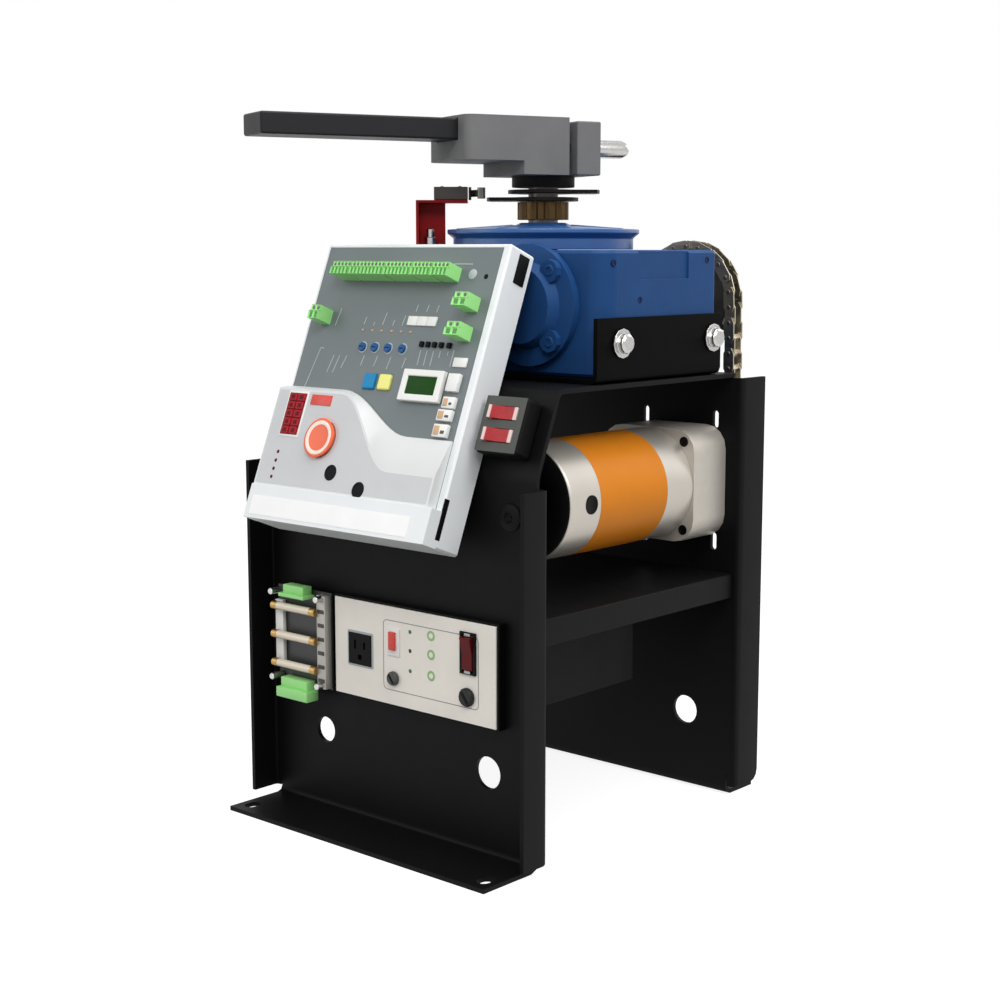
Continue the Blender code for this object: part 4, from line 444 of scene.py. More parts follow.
def skin(node, finish_name, radius, segments=2, angle=38.0, whole=True):
    """A copy of a CAD node with rounded edges and smooth curves, shown in its place."""
    bm = cad_copy(node, whole)
    round_edges(bm, radius, segments)
    even_flats(piece(node + "_skin", bm, finish_name, BODY_OF[node], (node,), angle=angle))


def paint(node, finish_name):
    """Gives a CAD node that stays as it is a better finish."""
    slots = frame["nodes"][node].data.materials
    slots.clear()
    slots.append(finish(finish_name))


def block(low, high, radius=0.0):
    """A box between two corners, its edges rounded."""
    bm = bmesh.new()
    low = Vector(low)
    high = Vector(high)
    bmesh.ops.create_cube(bm, size=1.0)
    bmesh.ops.scale(bm, vec=high - low, verts=bm.verts[:])
    bmesh.ops.translate(bm, vec=(low + high) / 2, verts=bm.verts[:])
    if radius:
        round_edges(bm, radius)
    return bm


def lathe(profile, steps=48):
    """A profile of (radius, height) in millimetres, turned round Z."""
    bm = bmesh.new()
    corners = [bm.verts.new((radius * MM, 0.0, height * MM)) for radius, height in profile]
    edges = [bm.edges.new(pair) for pair in zip(corners, corners[1:])]
    bmesh.ops.spin(
        bm,
        geom=corners + edges,
        cent=(0.0, 0.0, 0.0),
        axis=UP,
        angle=math.tau,
        steps=steps,
        use_merge=True,
    )
    bmesh.ops.remove_doubles(bm, verts=bm.verts[:], dist=0.001 * MM)
    return bm


def rim(width, height, corner, line, thickness):
    """A flat line round a rectangle with round corners, in millimetres in XZ, its front at -thickness."""
    bm = bmesh.new()
    bmesh.ops.create_grid(bm, x_segments=1, y_segments=1, size=0.5)
    bmesh.ops.scale(bm, vec=(width * MM, height * MM, 1.0), verts=bm.verts[:])
    bevel(bm, bm.verts[:], corner * MM, 6, "VERTICES")
    inset(bm, line * MM)
    inner = max(bm.faces, key=lambda face: len(face.verts))
    bmesh.ops.delete(bm, geom=[inner], context="FACES")
    thicken(bm, (0.0, 0.0, thickness * MM))
    return moved(bm, Matrix.Rotation(math.pi / 2, 4, "X"))


def inset(bm, margin):
    """Splits a margin off round all the faces, and gives its faces."""
    return bmesh.ops.inset_region(
        bm, faces=bm.faces[:], thickness=margin, use_even_offset=True, use_boundary=True
    )["faces"]


def thicken(bm, vector):
    """Grows a flat sheet along a vector into a solid."""
    grown = bmesh.ops.extrude_face_region(bm, geom=bm.faces[:])
    corners = [item for item in grown["geom"] if isinstance(item, bmesh.types.BMVert)]
    bmesh.ops.translate(bm, vec=vector, verts=corners)


def gather(*parts):
    """One bmesh that holds several, each freed."""
    whole = bmesh.new()
    for part in parts:
        mesh = baked("part", part)
        whole.from_mesh(mesh)
        bpy.data.meshes.remove(mesh)
    return whole


def facing(point, direction):
    """Place of something that stands on a point, built up along Z, and looks along a direction."""
    turn = Vector(direction).normalized().to_track_quat("Z", "Y").to_matrix().to_4x4()
    return Matrix.Translation(Vector(point)) @ turn


def moved(bm, matrix):
    bm.transform(matrix)
    return bm


def turned(profile, steps, points, direction):
    """The same turned shape on several points in metres, looking along a direction."""
    return gather(*(moved(lathe(profile, steps), facing(point, direction)) for point in points))


def studs(points, profile, steps=32):
    """The same turned shape on several points of an XZ face, looking out of it; all in millimetres."""
    return turned(profile, steps, [Vector(point) * MM for point in points], FRONT)


def bars(rows, proud, sunk=0.1, radius=0.0):
    """Blocks on an XZ face, each from its left, low, right and high edges; all in millimetres."""
    blocks = []
    for left, low, right, high in rows:
        corner = Vector((left, -proud, low)) * MM
        blocks.append(block(corner, Vector((right, sunk, high)) * MM, radius * MM))
    return gather(*blocks)


def strokes(rows, width, proud):
    """Printed lines on an XZ face, each between two points; all in millimetres."""
    lines = []
    for x0, z0, x1, z1 in rows:
        reach = math.hypot(x1 - x0, z1 - z0)
        line = block((0.0, -proud * MM, -width * MM / 2), (reach * MM, 0.05 * MM, width * MM / 2))
        turn = Matrix.Rotation(-math.atan2(z1 - z0, x1 - x0), 4, "Y")
        lines.append(moved(line, Matrix.Translation((x0 * MM, 0.0, z0 * MM)) @ turn))
    return gather(*lines)


def centre(node):
    low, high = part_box(node)
    return (low + high) / 2


def face_place():
    """Place of the control box's own frame: x across, y into the faceplate from its front, z up it."""
    foot = -45.4 * MM  # the faceplate's lower edge in that frame
    inward = Vector(JOINTS["stop_press"]["axis"])
    across = Vector(RIGHT)
    upward = across.cross(inward)
    corners = [vertex.co for vertex in frame["nodes"]["control_faceplate"].data.vertices]
    depth = min(corner.dot(inward) for corner in corners)
    height = min(corner.dot(upward) for corner in corners) - foot
    axes = Matrix((across, inward, upward)).transposed().to_4x4()
    return Matrix.Translation(inward * depth + upward * height) @ axes


def pan_head(radius, height):
    """Profile of a pan head on z = 0, in millimetres."""
    dome = [(0.0, height), (radius * 0.5, height * 0.94), (radius * 0.85, height * 0.6)]
    return dome + [(radius, height * 0.1), (radius, 0.0), (0.0, 0.0)]


class GATEDRIVE_OT_stage(bpy.types.Operator):
    """Pale floor, soft studio light and the camera"""

    bl_idname = "gate_drive.stage"
    bl_label = "Stage"

    def execute(self, context):
        scene = context.scene
        scene.view_settings.view_transform = "Standard"
        bm = bmesh.new()
        bmesh.ops.create_grid(bm, x_segments=1, y_segments=1, size=8.0)
        mesh = baked("studio_floor", bm)
        mesh.materials.append(self.floor_paint())
        floor = shown("studio_floor", mesh)
        scene.world = self.world()
        # Name, place and side in metres, and power in watts
        lamps = (
            ("key_lamp", (1.5, -1.7, 2.4), 1.4, 42.0),
            ("side_lamp", (2.3, 0.1, 2.0), 1.2, 26.0),
            ("fill_lamp", (-1.6, -2.0, 1.3), 1.8, 18.0),
            ("top_lamp", (0.2, 0.3, 2.6), 1.4, 26.0),
            ("rear_lamp", (0.8, 2.2, 1.4), 1.6, 10.0),
        )
        target = Vector((0.0, 0.15, 0.35))
        for name, place, side, power in lamps:
            lamp = bpy.data.lights.new(name, "AREA")
            lamp.shape = "SQUARE"
            lamp.size = side
            lamp.energy = power
            obj = shown(name, lamp)
            obj.location = place
            obj.rotation_euler = (target - Vector(place)).to_track_quat("-Z", "Y").to_euler()
        lens = bpy.data.cameras.new("camera")
        lens.lens = 61.92
        lens.sensor_width = 36.0
        camera = shown("camera", lens)
        camera.location = (1.1526, -1.1114, 0.5648)
        camera.rotation_euler = (math.radians(90.0 - 8.3), 0.0, math.radians(41.7))
        scene.camera = camera
        return {"FINISHED"}

    def seen(self, tree):
        """One where a camera, glossy or transmission ray looks, and zero for light on the object."""
        rays = add(tree, "ShaderNodeLightPath").outputs
        either = calculate(tree, "MAXIMUM", rays["Is Camera Ray"], rays["Is Glossy Ray"])
        return calculate(tree, "MAXIMUM", either, rays["Is Transmission Ray"])

    def world(self):
        """White backdrop where it is seen, and a softer white light on the object."""
        world = bpy.data.worlds.new("studio")
        world.use_nodes = True
        tree = world.node_tree
        white = tree.nodes["Background"]
        white.inputs["Color"].default_value = WHITE
        white.inputs["Strength"].default_value = 1.0
        soft = add(tree, "ShaderNodeBackground", {"Color": WHITE, "Strength": 0.34})
        mix = join(tree, "ShaderNodeMixShader", soft.outputs[0], white.outputs[0], Fac=self.seen(tree))
        tree.links.new(mix, tree.nodes["World Output"].inputs["Surface"])
        return world

    def floor_paint(self):
        """Painted board: matt, faintly rolled, and as white as the backdrop outside the soft shadow."""
        material = surface("painted_floor", linear("#8e8e8d"), 0.8, (400.0, 0.985, 1.0))
        tree, shader = inside(material)[:2]
        level = calculate(tree, "MULTIPLY", self.seen(tree), 0.86)
        glow = add(tree, "ShaderNodeEmission", {"Color": WHITE}, Strength=level)
        total = join(tree, "ShaderNodeAddShader", shader.outputs[0], glow.outputs[0])
        tree.links.new(total, tree.nodes["Material Output"].inputs["Surface"])
        return material


class GATEDRIVE_OT_chassis(bpy.types.Operator):
    """Folded sheets of the chassis with soft edges, the cable grommet and the power box's blanks"""

    bl_idname = "gate_drive.chassis"
    bl_label = "Chassis"

    def execute(self, context):
        edge = sizes().sheet_edge
        for node in ("front_panel", "back_panel", "shelf", "power_box"):
            skin(node, "powder_coated_steel", edge)
        # The cradle's coat is darker than the chassis coat: painted shade.
        skin("gearbox_cradle", "powder_coated_cradle", edge)
        grommet = [(5.0, 3.5), (9.5, 3.5), (12.5, 1.5), (12.5, 0.05), (9.6, 0.05), (9.6, -6.0), (5.0, -6.0)]
        grommet.append(grommet[0])
        cable_hole = (0.144, PANEL_FRONT, 0.326)
        piece("cable_grommet", lathe(grommet), "rubber_grommet", place=facing(cable_hole, FRONT))
        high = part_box("power_box")[1]
        below_top = 7.0 * MM
        blank = [(0, 0.2), (4.6, 0.2), (5.0, 0.5), (5.6, 0.4), (5.6, -0.5), (0, -0.5)]
        spots = [(high.x, y, high.z - below_top) for y in (0.1947, 0.2188)]
        piece("power_box_blanks", turned(blank, 28, spots, RIGHT), "black_nylon")
        return {"FINISHED"}


class GATEDRIVE_OT_gearbox(bpy.types.Operator):
    """Enamelled castings of the gearbox, their webs, and the bolts that hold them"""

    bl_idname = "gate_drive.gearbox"
    bl_label = "Gearbox"

    def execute(self, context):
        edge = sizes().casting_edge
        skin("gearbox_housing", "enamelled_gearbox", edge * 0.5, 3)
        # The top cover gets the lighter enamel: painted light where light falls on its top.
        skin("gearbox_top_cover", "enamelled_cover", edge * 0.4, 3)
        skin("worm_front_cover", "enamelled_gearbox", edge * 0.6, 3)
        self.webs()
        self.cover_screws()
        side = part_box("gearbox_housing")[1].x
        # Dark blue studs in three holes in the housing's side: painted shade inside the holes.
        plugs = [(side, y, z) for y, z in ((0.1540, 0.5521), (0.3027, 0.5541), (0.1943, 0.5173))]
        plug = [(0, 0.1), (2.0, 0.1), (2.4, 0.3), (3.1, 0.3), (3.3, 0.0), (3.3, -1.0), (0, -1.0)]
        piece("gearbox_side_hole_shade", turned(plug, 28, plugs, RIGHT), "dark_blue_enamel")
        for k in range(1, 5):
            skin(f"cradle_bolt_{k}", "polished_steel", sizes().fine_edge * 5.0, 4)
        return {"FINISHED"}

    def webs(self):
        """Low radial webs on the cover's cone, from its neck to its rim."""
        axis = centre("output_shaft")
        cone_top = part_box("gearbox_top_cover")[1].z - 3.0 * MM
        cone_fall = 4.0 * MM
        inner, outer = 32.0 * MM, 90.0 * MM
        half, below, above = 2.6 * MM, 1.5 * MM, 1.2 * MM
        count = 8
        webs = []
        for k in range(count):
            web = block((inner, -half, -below), (outer, half, above), 1.0 * MM)
            for vertex in web.verts:
                vertex.co.z -= cone_fall * (vertex.co.x - inner) / (outer - inner)
            turn = Matrix.Rotation(math.tau * (k + 0.25) / count, 4, "Z")
            webs.append(moved(web, Matrix.Translation((axis.x, axis.y, cone_top)) @ turn))
        piece("cover_webs", gather(*webs), "enamelled_cover")

    def cover_screws(self):
        """Socket screws in the worm cover's lugs, with painted shade in their sockets."""
        middle = centre("worm_front_cover")
        lug_depth = 11.5 * MM
        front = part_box("worm_front_cover")[1].y - lug_depth
        reach = 47.0 * MM
        lugs = []
        for k in range(4):
            angle = math.pi / 4 + k * math.pi / 2
            lugs.append((middle.x + reach * math.cos(angle), front, middle.z + reach * math.sin(angle)))
        head = [(0, 2.0), (3.0, 2.0), (3.0, 4.6), (4.6, 4.6), (5.2, 4.0), (5.2, 0), (0, 0)]
        piece("worm_cover_screws", turned(head, 24, lugs, FRONT), "enamelled_gearbox")
        # A dark disc at the bottom of each socket: painted shade.
        socket = [(0, 2.6), (2.4, 2.6), (2.9, 2.2), (2.9, 1.8), (0, 1.8)]
        piece("worm_cover_socket_shade", turned(socket, 24, lugs, FRONT), "dark_blue_enamel")


class GATEDRIVE_OT_drive(bpy.types.Operator):
    """Motor tube with its band and end bell, sprockets and roller chain"""

    bl_idname = "gate_drive.drive"
    bl_label = "Motor and chain"

    def execute(self, context):
        self.motor()
        for node in ("input_sprocket", "motor_sprocket"):
            skin(node, "oiled_steel", sizes().fine_edge)
        self.chain()
        paint("motor_armature", "oiled_steel")
        return {"FINISHED"}

    def motor(self):
        """Tube, front plate, film band, caps over the brushes, and the end bell with its sunk bolts."""
        low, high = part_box("motor_can")
        axis = centre("motor_can")
        radius = (high.x - low.x) / 2 / MM
        depth = (high.y - low.y) / MM
        front = facing((axis.x, low.y, axis.z), BACK)
        lip = [(radius - 3.2, 1.6), (radius - 2.4, 0.6), (radius - 1.4, 0.9), (radius - 0.4, 1.8)]
        tube = lathe([(0.0, 1.6), *lip, (radius, 3.2), (radius, depth), (0.0, depth)], 96)
        piece("motor_tube", tube, "lacquered_motor_tube", replaces=("motor_can",), place=front)
        ridge = [(radius - 4.0, 1.0), (radius - 2.6, 0.2), (radius - 1.8, 0.5), (radius - 1.8, 1.8)]
        plate = lathe([(0.0, 0.4), (18.0, 0.4), (20.0, 1.0), *ridge, (0.0, 1.8)], 72)
        piece("motor_front_plate", plate, "black_oxide_steel", place=front)
        start, end = 44.5, 149.0
        skin_gap = 0.02
        under, over = radius + skin_gap, radius + sizes().film / MM
        band = lathe([(under, start), (over, start), (over, end), (under, end), (under, start)], 96)
        piece("motor_band", band, "orange_film", place=front)
        cap = [(0, 0.05), (7.0, 0.05), (7.6, 0.5), (8.6, 0.5), (9.0, 0.2), (9.0, -1.6), (0, -1.6)]
        brushes = Vector((axis.x, 0.1235, axis.z))
        caps = []
        for direction in (RIGHT, LEFT):
            point = brushes + Vector(direction) * radius * MM
            caps.append(turned(cap, 36, [point], direction))
        piece("brush_caps", gather(*caps), "black_nylon")
        skin("motor_end_bell", "die_cast_bell", 2.0 * MM, 3)
        corner = 44.5
        corners = [(x, 0.0, z) for x in (-corner, corner) for z in (-corner, corner)]
        bolt = [(0, 0.3), (3.0, 0.3), (3.4, 0.9), (4.8, 0.9), (5.1, 0.5), (5.1, -0.2), (0, -0.2)]
        place = Matrix.Translation((axis.x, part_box("motor_end_bell")[0].y, axis.z))
        piece("bell_bolts", studs(corners, bolt), "black_oxide_steel", place=place)

    def chain(self):
        """Roller chain, with no rollers round the sprockets, so that the teeth turn between its plates."""
        bm = cad_copy("drive_chain", whole=False)
        middle = centre("drive_chain").y
        plate_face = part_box("drive_chain")[1].y - middle
        between_plates = 4.8 * MM
        inner = {
            face
            for face in bm.faces
            if abs(face.normal.y) < 0.2
            and all(abs(vertex.co.y - middle) < between_plates for vertex in face.verts)
        }
        roller_reach = 5.5 * MM
        wheels = []
        for node in ("input_sprocket", "motor_sprocket"):
            low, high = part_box(node)
            wheels.append(((low + high) / 2, (high.x - low.x) / 2 + roller_reach))
        pin = [(0.0, 0.7), (1.9, 0.7), (2.4, 0.3), (2.4, -0.2), (0.0, -0.2)]
        left_out = []
        heads = []
        for first in bm.faces:
            if first not in inner:
                continue
            inner.remove(first)
            roller = [first]
            for face in roller:
                for edge in face.edges:
                    beside = [other for other in edge.link_faces if other in inner]
                    inner.difference_update(beside)
                    roller.extend(beside)
            spot = sum((face.calc_center_median() for face in roller), Vector()) / len(roller)
            if any(math.hypot(spot.x - hub.x, spot.z - hub.z) < reach for hub, reach in wheels):
                left_out += roller
            for direction in (FRONT, BACK):
                end = Vector((spot.x, middle, spot.z)) + Vector(direction) * plate_face
                heads.append(turned(pin, 14, [end], direction))
        bmesh.ops.delete(bm, geom=left_out, context="FACES")
        bmesh.ops.holes_fill(bm, edges=[edge for edge in bm.edges if edge.is_boundary], sides=0)
        body = BODY_OF["drive_chain"]
        even_flats(piece("roller_chain", bm, "nickel_plate", body, ("drive_chain",), angle=20.0))
        piece("chain_pins", gather(*heads), "oiled_steel", body)


class GATEDRIVE_OT_arm(bpy.types.Operator):
    """Arm bar, its clamp, the clamp bolt and the turned parts on the output shaft"""

    bl_idname = "gate_drive.arm"
    bl_label = "Arm and shaft"

    def execute(self, context):
        fine = sizes().fine_edge
        for node in ("arm_clamp", "clamp_cap"):
            skin(node, "painted_clamp", sizes().casting_edge, 3)
        skin("arm_bar", "powder_coated_bar", 1.6 * MM, 3)
        skin("clamp_handle", "polished_steel", fine)
        skin("cam_hub", "machined_bronze", fine)
        for node in ("limit_cam_lower", "limit_cam_upper"):
            skin(node, "black_oxide_steel", fine)
        paint("output_shaft", "oiled_steel")
        # Black sleeve round the clamp's collar
        axis = centre("output_shaft")
        place = facing((axis.x, axis.y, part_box("arm_clamp")[0].z), UP)
        sleeve = [(30.1, 0.2), (31.2, 0.2), (31.6, 0.8), (31.6, 10.6), (30.1, 10.6), (30.1, 0.2)]
        piece("collar_sleeve", lathe(sleeve, 64), "black_nylon", "output", place=place)
        return {"FINISHED"}


class GATEDRIVE_OT_limits(bpy.types.Operator):
    """Limit switch with its lever on the enamelled bracket, the bracket's stud and the switch's rivets"""

    bl_idname = "gate_drive.limits"
    bl_label = "Limit switch"

    def execute(self, context):
        fine = sizes().fine_edge
        skin("limit_bracket", "enamelled_bracket", fine * 1.5)
        skin("limit_switch", "switch_phenolic", fine * 1.5)
        skin("limit_lever", "oiled_steel", fine * 0.5)
        shaft = centre("output_shaft")
        switch = centre("limit_switch")
        outward = Vector((switch.x - shaft.x, switch.y - shaft.y, 0.0)).normalized()
        stud_reach, rivet_reaches = 114.0, (84.0, 102.0)
        sheet = 3.0 * MM
        point = shaft + outward * stud_reach * MM
        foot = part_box("limit_bracket")[0].z + sheet
        stud = [(0.0, 18.0), (3.2, 18.0), (3.9, 17.2), (3.9, 9.6), (5.4, 9.6), (6.0, 9.0), (6.0, 1.8)]
        stud += [(6.6, 1.4), (6.6, 0.0), (0.0, 0.0)]
        piece("bracket_stud", lathe(stud, 36), "polished_steel", place=facing((point.x, point.y, foot), UP))
        spots = [shaft + outward * reach * MM for reach in rivet_reaches]
        tops = [(spot.x, spot.y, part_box("limit_switch")[1].z) for spot in spots]
        piece("switch_rivets", turned(pan_head(2.0, 1.0), 24, tops, UP), "tinned_brass")
        return {"FINISHED"}


class Fitted:
    """A step whose fittings are laid out in millimetres on one face."""

    def fit(self, name, bm, finish_name, body="chassis", replaces=()):
        piece(name, bm, finish_name, body, replaces, self.place)


class GATEDRIVE_OT_control_box(Fitted, bpy.types.Operator):
    """Moulded housing, film-covered faceplate, lower cover and its buttons"""

    bl_idname = "gate_drive.control_box"
    bl_label = "Control box"
    # Fronts of the cover's flat and of the ledge, in millimetres from the faceplate's front
    plateau = 12.0
    ledge = 14.0

    def execute(self, context):
        edge = sizes().moulding_edge
        self.place = face_place()
        skin("control_housing", "moulded_housing", edge, 3, whole=False)
        paint("control_faceplate", "face_film")
        skin("control_cover", "moulded_cover", edge * 0.8, 3, 50.0)
        skin("blue_button", "blue_cap", edge * 0.7, 3)
        skin("yellow_button", "yellow_cap", edge * 0.7, 3)
        self.flat_film()
        self.stop()
        skin("lcd_module", "white_nylon", edge * 0.7, 3)
        self.fit("display_glass", bars([(26.8, 58.3, 64.2, 75.7)], 5.2, -4.1, 0.3), "display_glass")
        self.red_keys()
        self.cover_fittings()
        self.side_fittings()
        return {"FINISHED"}

    def flat_film(self):
        """Grey film on the cover's flat, cut back from its edges."""
        bm = moved(cad_copy("control_cover"), self.place.inverted())
        front = -(self.plateau - 0.2) * MM
        others = [face for face in bm.faces if max(vertex.co.y for vertex in face.verts) > front]
        bmesh.ops.delete(bm, geom=others, context="FACES")
        bmesh.ops.delete(bm, geom=inset(bm, 2.2 * MM), context="FACES")
        thicken(bm, (0.0, -sizes().film, 0.0))
        self.fit("cover_film", bm, "cover_film")

    def stop(self):
        """Stop button: a domed cap with a wide pale ring set in it."""
        spots = [(-58.5, -self.plateau, 5.5)]
        cap = [(0.0, 3.9), (7.0, 4.0), (12.6, 4.3), (14.6, 4.7), (17.4, 5.0), (19.0, 4.7), (19.6, 4.2)]
        cap += [(19.3, 3.6), (17.9, 3.4), (17.9, 0.6), (0.0, 0.6)]
        self.fit("stop_cap", studs(spots, cap, 72), "stop_cap", "stop", ("stop_button",))
        ring = [(12.9, 4.2), (13.2, 4.75), (14.4, 5.0), (16.4, 5.2), (17.0, 4.9), (17.0, 4.6), (12.9, 4.2)]
        self.fit("stop_ring", studs(spots, ring, 72), "stop_ring", "stop")

    def red_keys(self):
        """Two columns of five red keys with dark wells, in a white frame on the cover, and a red tab."""
        left, low, right, high = -118.0, 6.5, -94.0, 48.5
        columns, rows = 2, 5
        width, height = (right - left) / columns, (high - low) / rows
        border, gap = 2.2, 0.4
        side, end = 3.6, 2.2
        keys = []
        wells = []
        for column in range(columns):
            for row in range(rows):
                x, z = left + column * width, low + row * height
                keys.append((x + gap, z + gap, x + width - gap, z + height - gap))
                wells.append((x + side, z + end, x + width - side, z + height - end))
        front = self.plateau
        sunk = 0.3 - front
        self.fit("red_keys", bars(keys, front + 2.0, sunk, 0.8), "red_lens")
        self.fit("key_wells", bars(wells, front + 2.15, sunk - 1.9, 0.05), "dark_red_lens")
        bed = [(left - border, low - border, right + border, high + border)]
        self.fit("red_key_frame", bars(bed, front + 0.8, sunk, 0.4), "white_nylon")
        self.fit("red_key_floor", bars([(left, low, right, high)], front + 1.0, sunk), "dark_red_lens")
        self.fit("blank_red_tab", bars([(-87.0, 38.0, -58.5, 48.5)], front + 1.0, sunk, 0.5), "red_lamp")

    def cover_fittings(self):
        """Black studs for the painted shade in two round holes, the white strip on the ledge and four lamps at the
        left.
        """
        front = -self.plateau
        holes = [(-34.0, front, -26.0), (8.0, front, -39.0)]
        # Black studs in the holes: painted shade.
        plug = [(0, 0.35), (5.4, 0.35), (6.0, 0.9), (7.2, 0.9), (7.8, 0.4), (7.8, -0.3), (0, -0.3)]
        self.fit("cover_hole_shade", studs(holes, plug, 40), "black_nylon")
        lamps = [(-114.0, front, z) for z in (-11.5, -20.3, -28.6, -36.8)]
        dome = [(0, 1.0), (1.2, 0.8), (1.8, 0.3), (1.8, -0.3), (0, -0.3)]
        self.fit("cover_lamps", studs(lamps, dome, 20), "dark_red_lens")
        strip = bars([(-130.0, -76.0, 84.0, -57.0)], self.ledge + sizes().film / MM, 0.1 - self.ledge)
        self.fit("ledge_strip", strip, "white_film")

    def side_fittings(self):
        """Latch and clips on the box's sides, and a black bar in the slot there: painted shade."""
        # Low and high corners, and the rounding, in millimetres
        rows = (
            ((106.5, 14.0, 176.0), (108.0, 28.0, 204.0), 0.45),
            # Black bar in the slot: painted shade.
            ((106.5, 0.0, -72.0), (107.3, 6.0, -34.0), 0.1),
            ((-140.5, 22.0, 76.0), (-136.8, 34.0, 104.0), 1.5),
            ((-140.5, 22.0, 58.0), (-136.8, 34.0, 70.0), 1.5),
        )
        fittings = [block(Vector(low) * MM, Vector(high) * MM, edge * MM) for low, high, edge in rows]
        self.fit("side_fittings", gather(*fittings), "black_nylon")


class GATEDRIVE_OT_control_face(Fitted, bpy.types.Operator):
    """Terminals, trimmers, switches, lamps and connectors on the control face"""

    bl_idname = "gate_drive.control_face"
    bl_label = "Control face"

    def execute(self, context):
        self.place = face_place()
        self.screws = []
        self.wells = []
        self.terminal_row()
        # Left, right, low and high edges in millimetres
        self.terminal("terminal_right_upper", 70.55, 87.05, 141.25, 154.75)
        self.terminal("terminal_right_lower", 70.55, 87.05, 112.75, 126.25)
        self.terminal("terminal_left", -117.0, -104.0, 123.5, 138.0)
        self.fit("terminal_screws", gather(*self.screws), "oiled_steel")
        self.fit("terminal_wells", gather(*self.wells), "terminal_shade")
        self.trimmers()
        self.posts()
        self.lamps()
        self.connectors()
        self.leaders()
        return {"FINISHED"}

    def ways(self, left, right, low, high, count):
        """Ways of a plug-in block, in millimetres: a wire entry below, and a sunk screw above it."""
        depth = 20.0
        step = depth * 0.9
        gap = sizes().terminal_gap / MM
        pitch = (right - left) / count
        margin = 0.17 * pitch
        split = low + (high - low) * 0.58
        entry_top, screw_low = split - 0.3, split + 0.3
        cells = [bars([(left, low + 0.4, right, high - 0.4)], depth * 0.8, 0.0)]
        for k in range(count):
            start, end = left + k * pitch + gap / 2, left + (k + 1) * pitch - gap / 2
            cells.append(self.sunk((start, low, end, entry_top), depth, margin, 1.6))
            cells.append(self.sunk((start, screw_low, end, high), step, 0.14 * pitch, 0.8))
            # A dark green plate at the bottom of the wire entry: painted shade.
            inner = margin + 0.05
            well = (start + inner, low + inner, end - inner, entry_top - inner)
            self.wells.append(bars([well], depth - 1.5, 1.7 - depth))
            middle = ((start + end) / 2, -step + 0.75, (split + high) / 2)
            self.screws.append(studs([middle], pan_head(min(0.32 * pitch, 1.9), 0.6), 24))
        return gather(*cells)

    def sunk(self, edges, proud, margin, depth):
        """A box whose front is sunk inside a margin, in millimetres."""
        bm = bars([edges], proud, 0.0)
        bm.faces.ensure_lookup_table()
        front = min(bm.faces, key=lambda face: face.calc_center_median().y)
        bmesh.ops.inset_individual(bm, faces=[front], thickness=margin * MM, use_even_offset=True)
        bmesh.ops.translate(bm, vec=(0.0, depth * MM, 0.0), verts=front.verts[:])
        return bm

    def terminal(self, node, left, right, low, high):
        """A plug-in block of two ways, in place of its CAD node where there is one."""
        replaced = (node,) if node in frame["nodes"] else ()
        cells = self.ways(left, right, low, high, 2)
        self.fit(node + "_ways", cells, "terminal_nylon", replaces=replaced)

    def terminal_row(self):
        """Five plug-in blocks side by side, each with its number of ways."""
        counts = (5, 9, 7, 5, 4)
        left, right, low, high = -102.5, 53.5, 169.95, 183.45
        gap = 1.8
        pitch = (right - left) / sum(counts)
        blocks = []
        start = left
        for count in counts:
            end = start + pitch * count
            first = start + (gap / 2 if start > left else 0.0)
            last = end - (gap / 2 if end < right - gap else 0.0)
            blocks.append(self.ways(first, last, low, high, count))
            start = end
        self.fit("terminal_row_ways", gather(*blocks), "terminal_nylon", replaces=("terminal_row",))

    def trimmers(self):
        """Blue trimmers, each on a pale pad, with a black bar across each for the painted shade in its slot."""
        radius = sizes().trimmer / MM
        pad_edge = radius + 1.4
        half = radius * 0.6
        height = 102.5
        places = (-49.5, -32.7, -14.7, 4.5)
        spots = [(x, 0.0, height) for x in places]
        body = [(0, 2.6), (radius * 0.8, 2.6), (radius, 2.1), (radius, -0.2), (0, -0.2)]
        self.fit("trimmers", studs(spots, body), "trimmer_blue")
        pad = [(0, 0.3), (radius + 1.2, 0.3), (pad_edge, 0.1), (pad_edge, -0.1), (0, -0.1)]
        self.fit("trimmer_pads", studs(spots, pad), "pale_print")
        # Black bars across the trimmers: painted shade in their slots.
        slots = [(x - half, height - 0.5, x + half, height + 0.5) for x in places]
        self.fit("trimmer_slot_shade", bars(slots, 2.7, -2.3), "black_nylon")

    def posts(self):
        """Jumper posts in a row, the white switch fields, a pale disc, and a black disc for the painted shade in a
        small hole.
        """
        posts = [(x - 2.3, 105.4, x + 2.3, 110.6) for x in POSTS]
        self.fit("jumper_posts", bars(posts, 2.6, 0.2, 0.4), "black_nylon")
        pitch = 12.6
        fields = [(2.4 + k * pitch, 126.0, 14.7 + k * pitch, 135.2) for k in range(3)]
        fields.append((74.4, 88.0, 91.0, 97.0))
        self.fit("white_fields", bars(fields, 1.6, 0.2, 0.5), "white_nylon")
        disc = [(0, 0.9), (4.2, 0.9), (5.0, 0.4), (5.0, -0.2), (0, -0.2)]
        self.fit("face_disc", studs([(69.0, 0.0, 178.0)], disc), "pale_print")
        # Black disc in the small hole: painted shade.
        hole = [(0, 0.15), (2.2, 0.15), (2.5, 0.05), (2.5, -0.2), (0, -0.2)]
        self.fit("face_hole_shade", studs([(86.0, 0.0, 176.0)], hole, 24), "black_nylon")

    def lamps(self):
        """Indicator lamps in a row above the trimmers."""
        radius = sizes().lamp / MM
        spots = [(x, 0.0, 119.5) for x in (-55.5, -42.3, -29.8, -16.2, -3.3, 9.1)]
        dome = [(0, radius), (radius * 0.7, radius * 0.7), (radius, 0.1), (radius, -0.2), (0, -0.2)]
        self.fit("face_lamps", studs(spots, dome, 20), "tan_nylon")

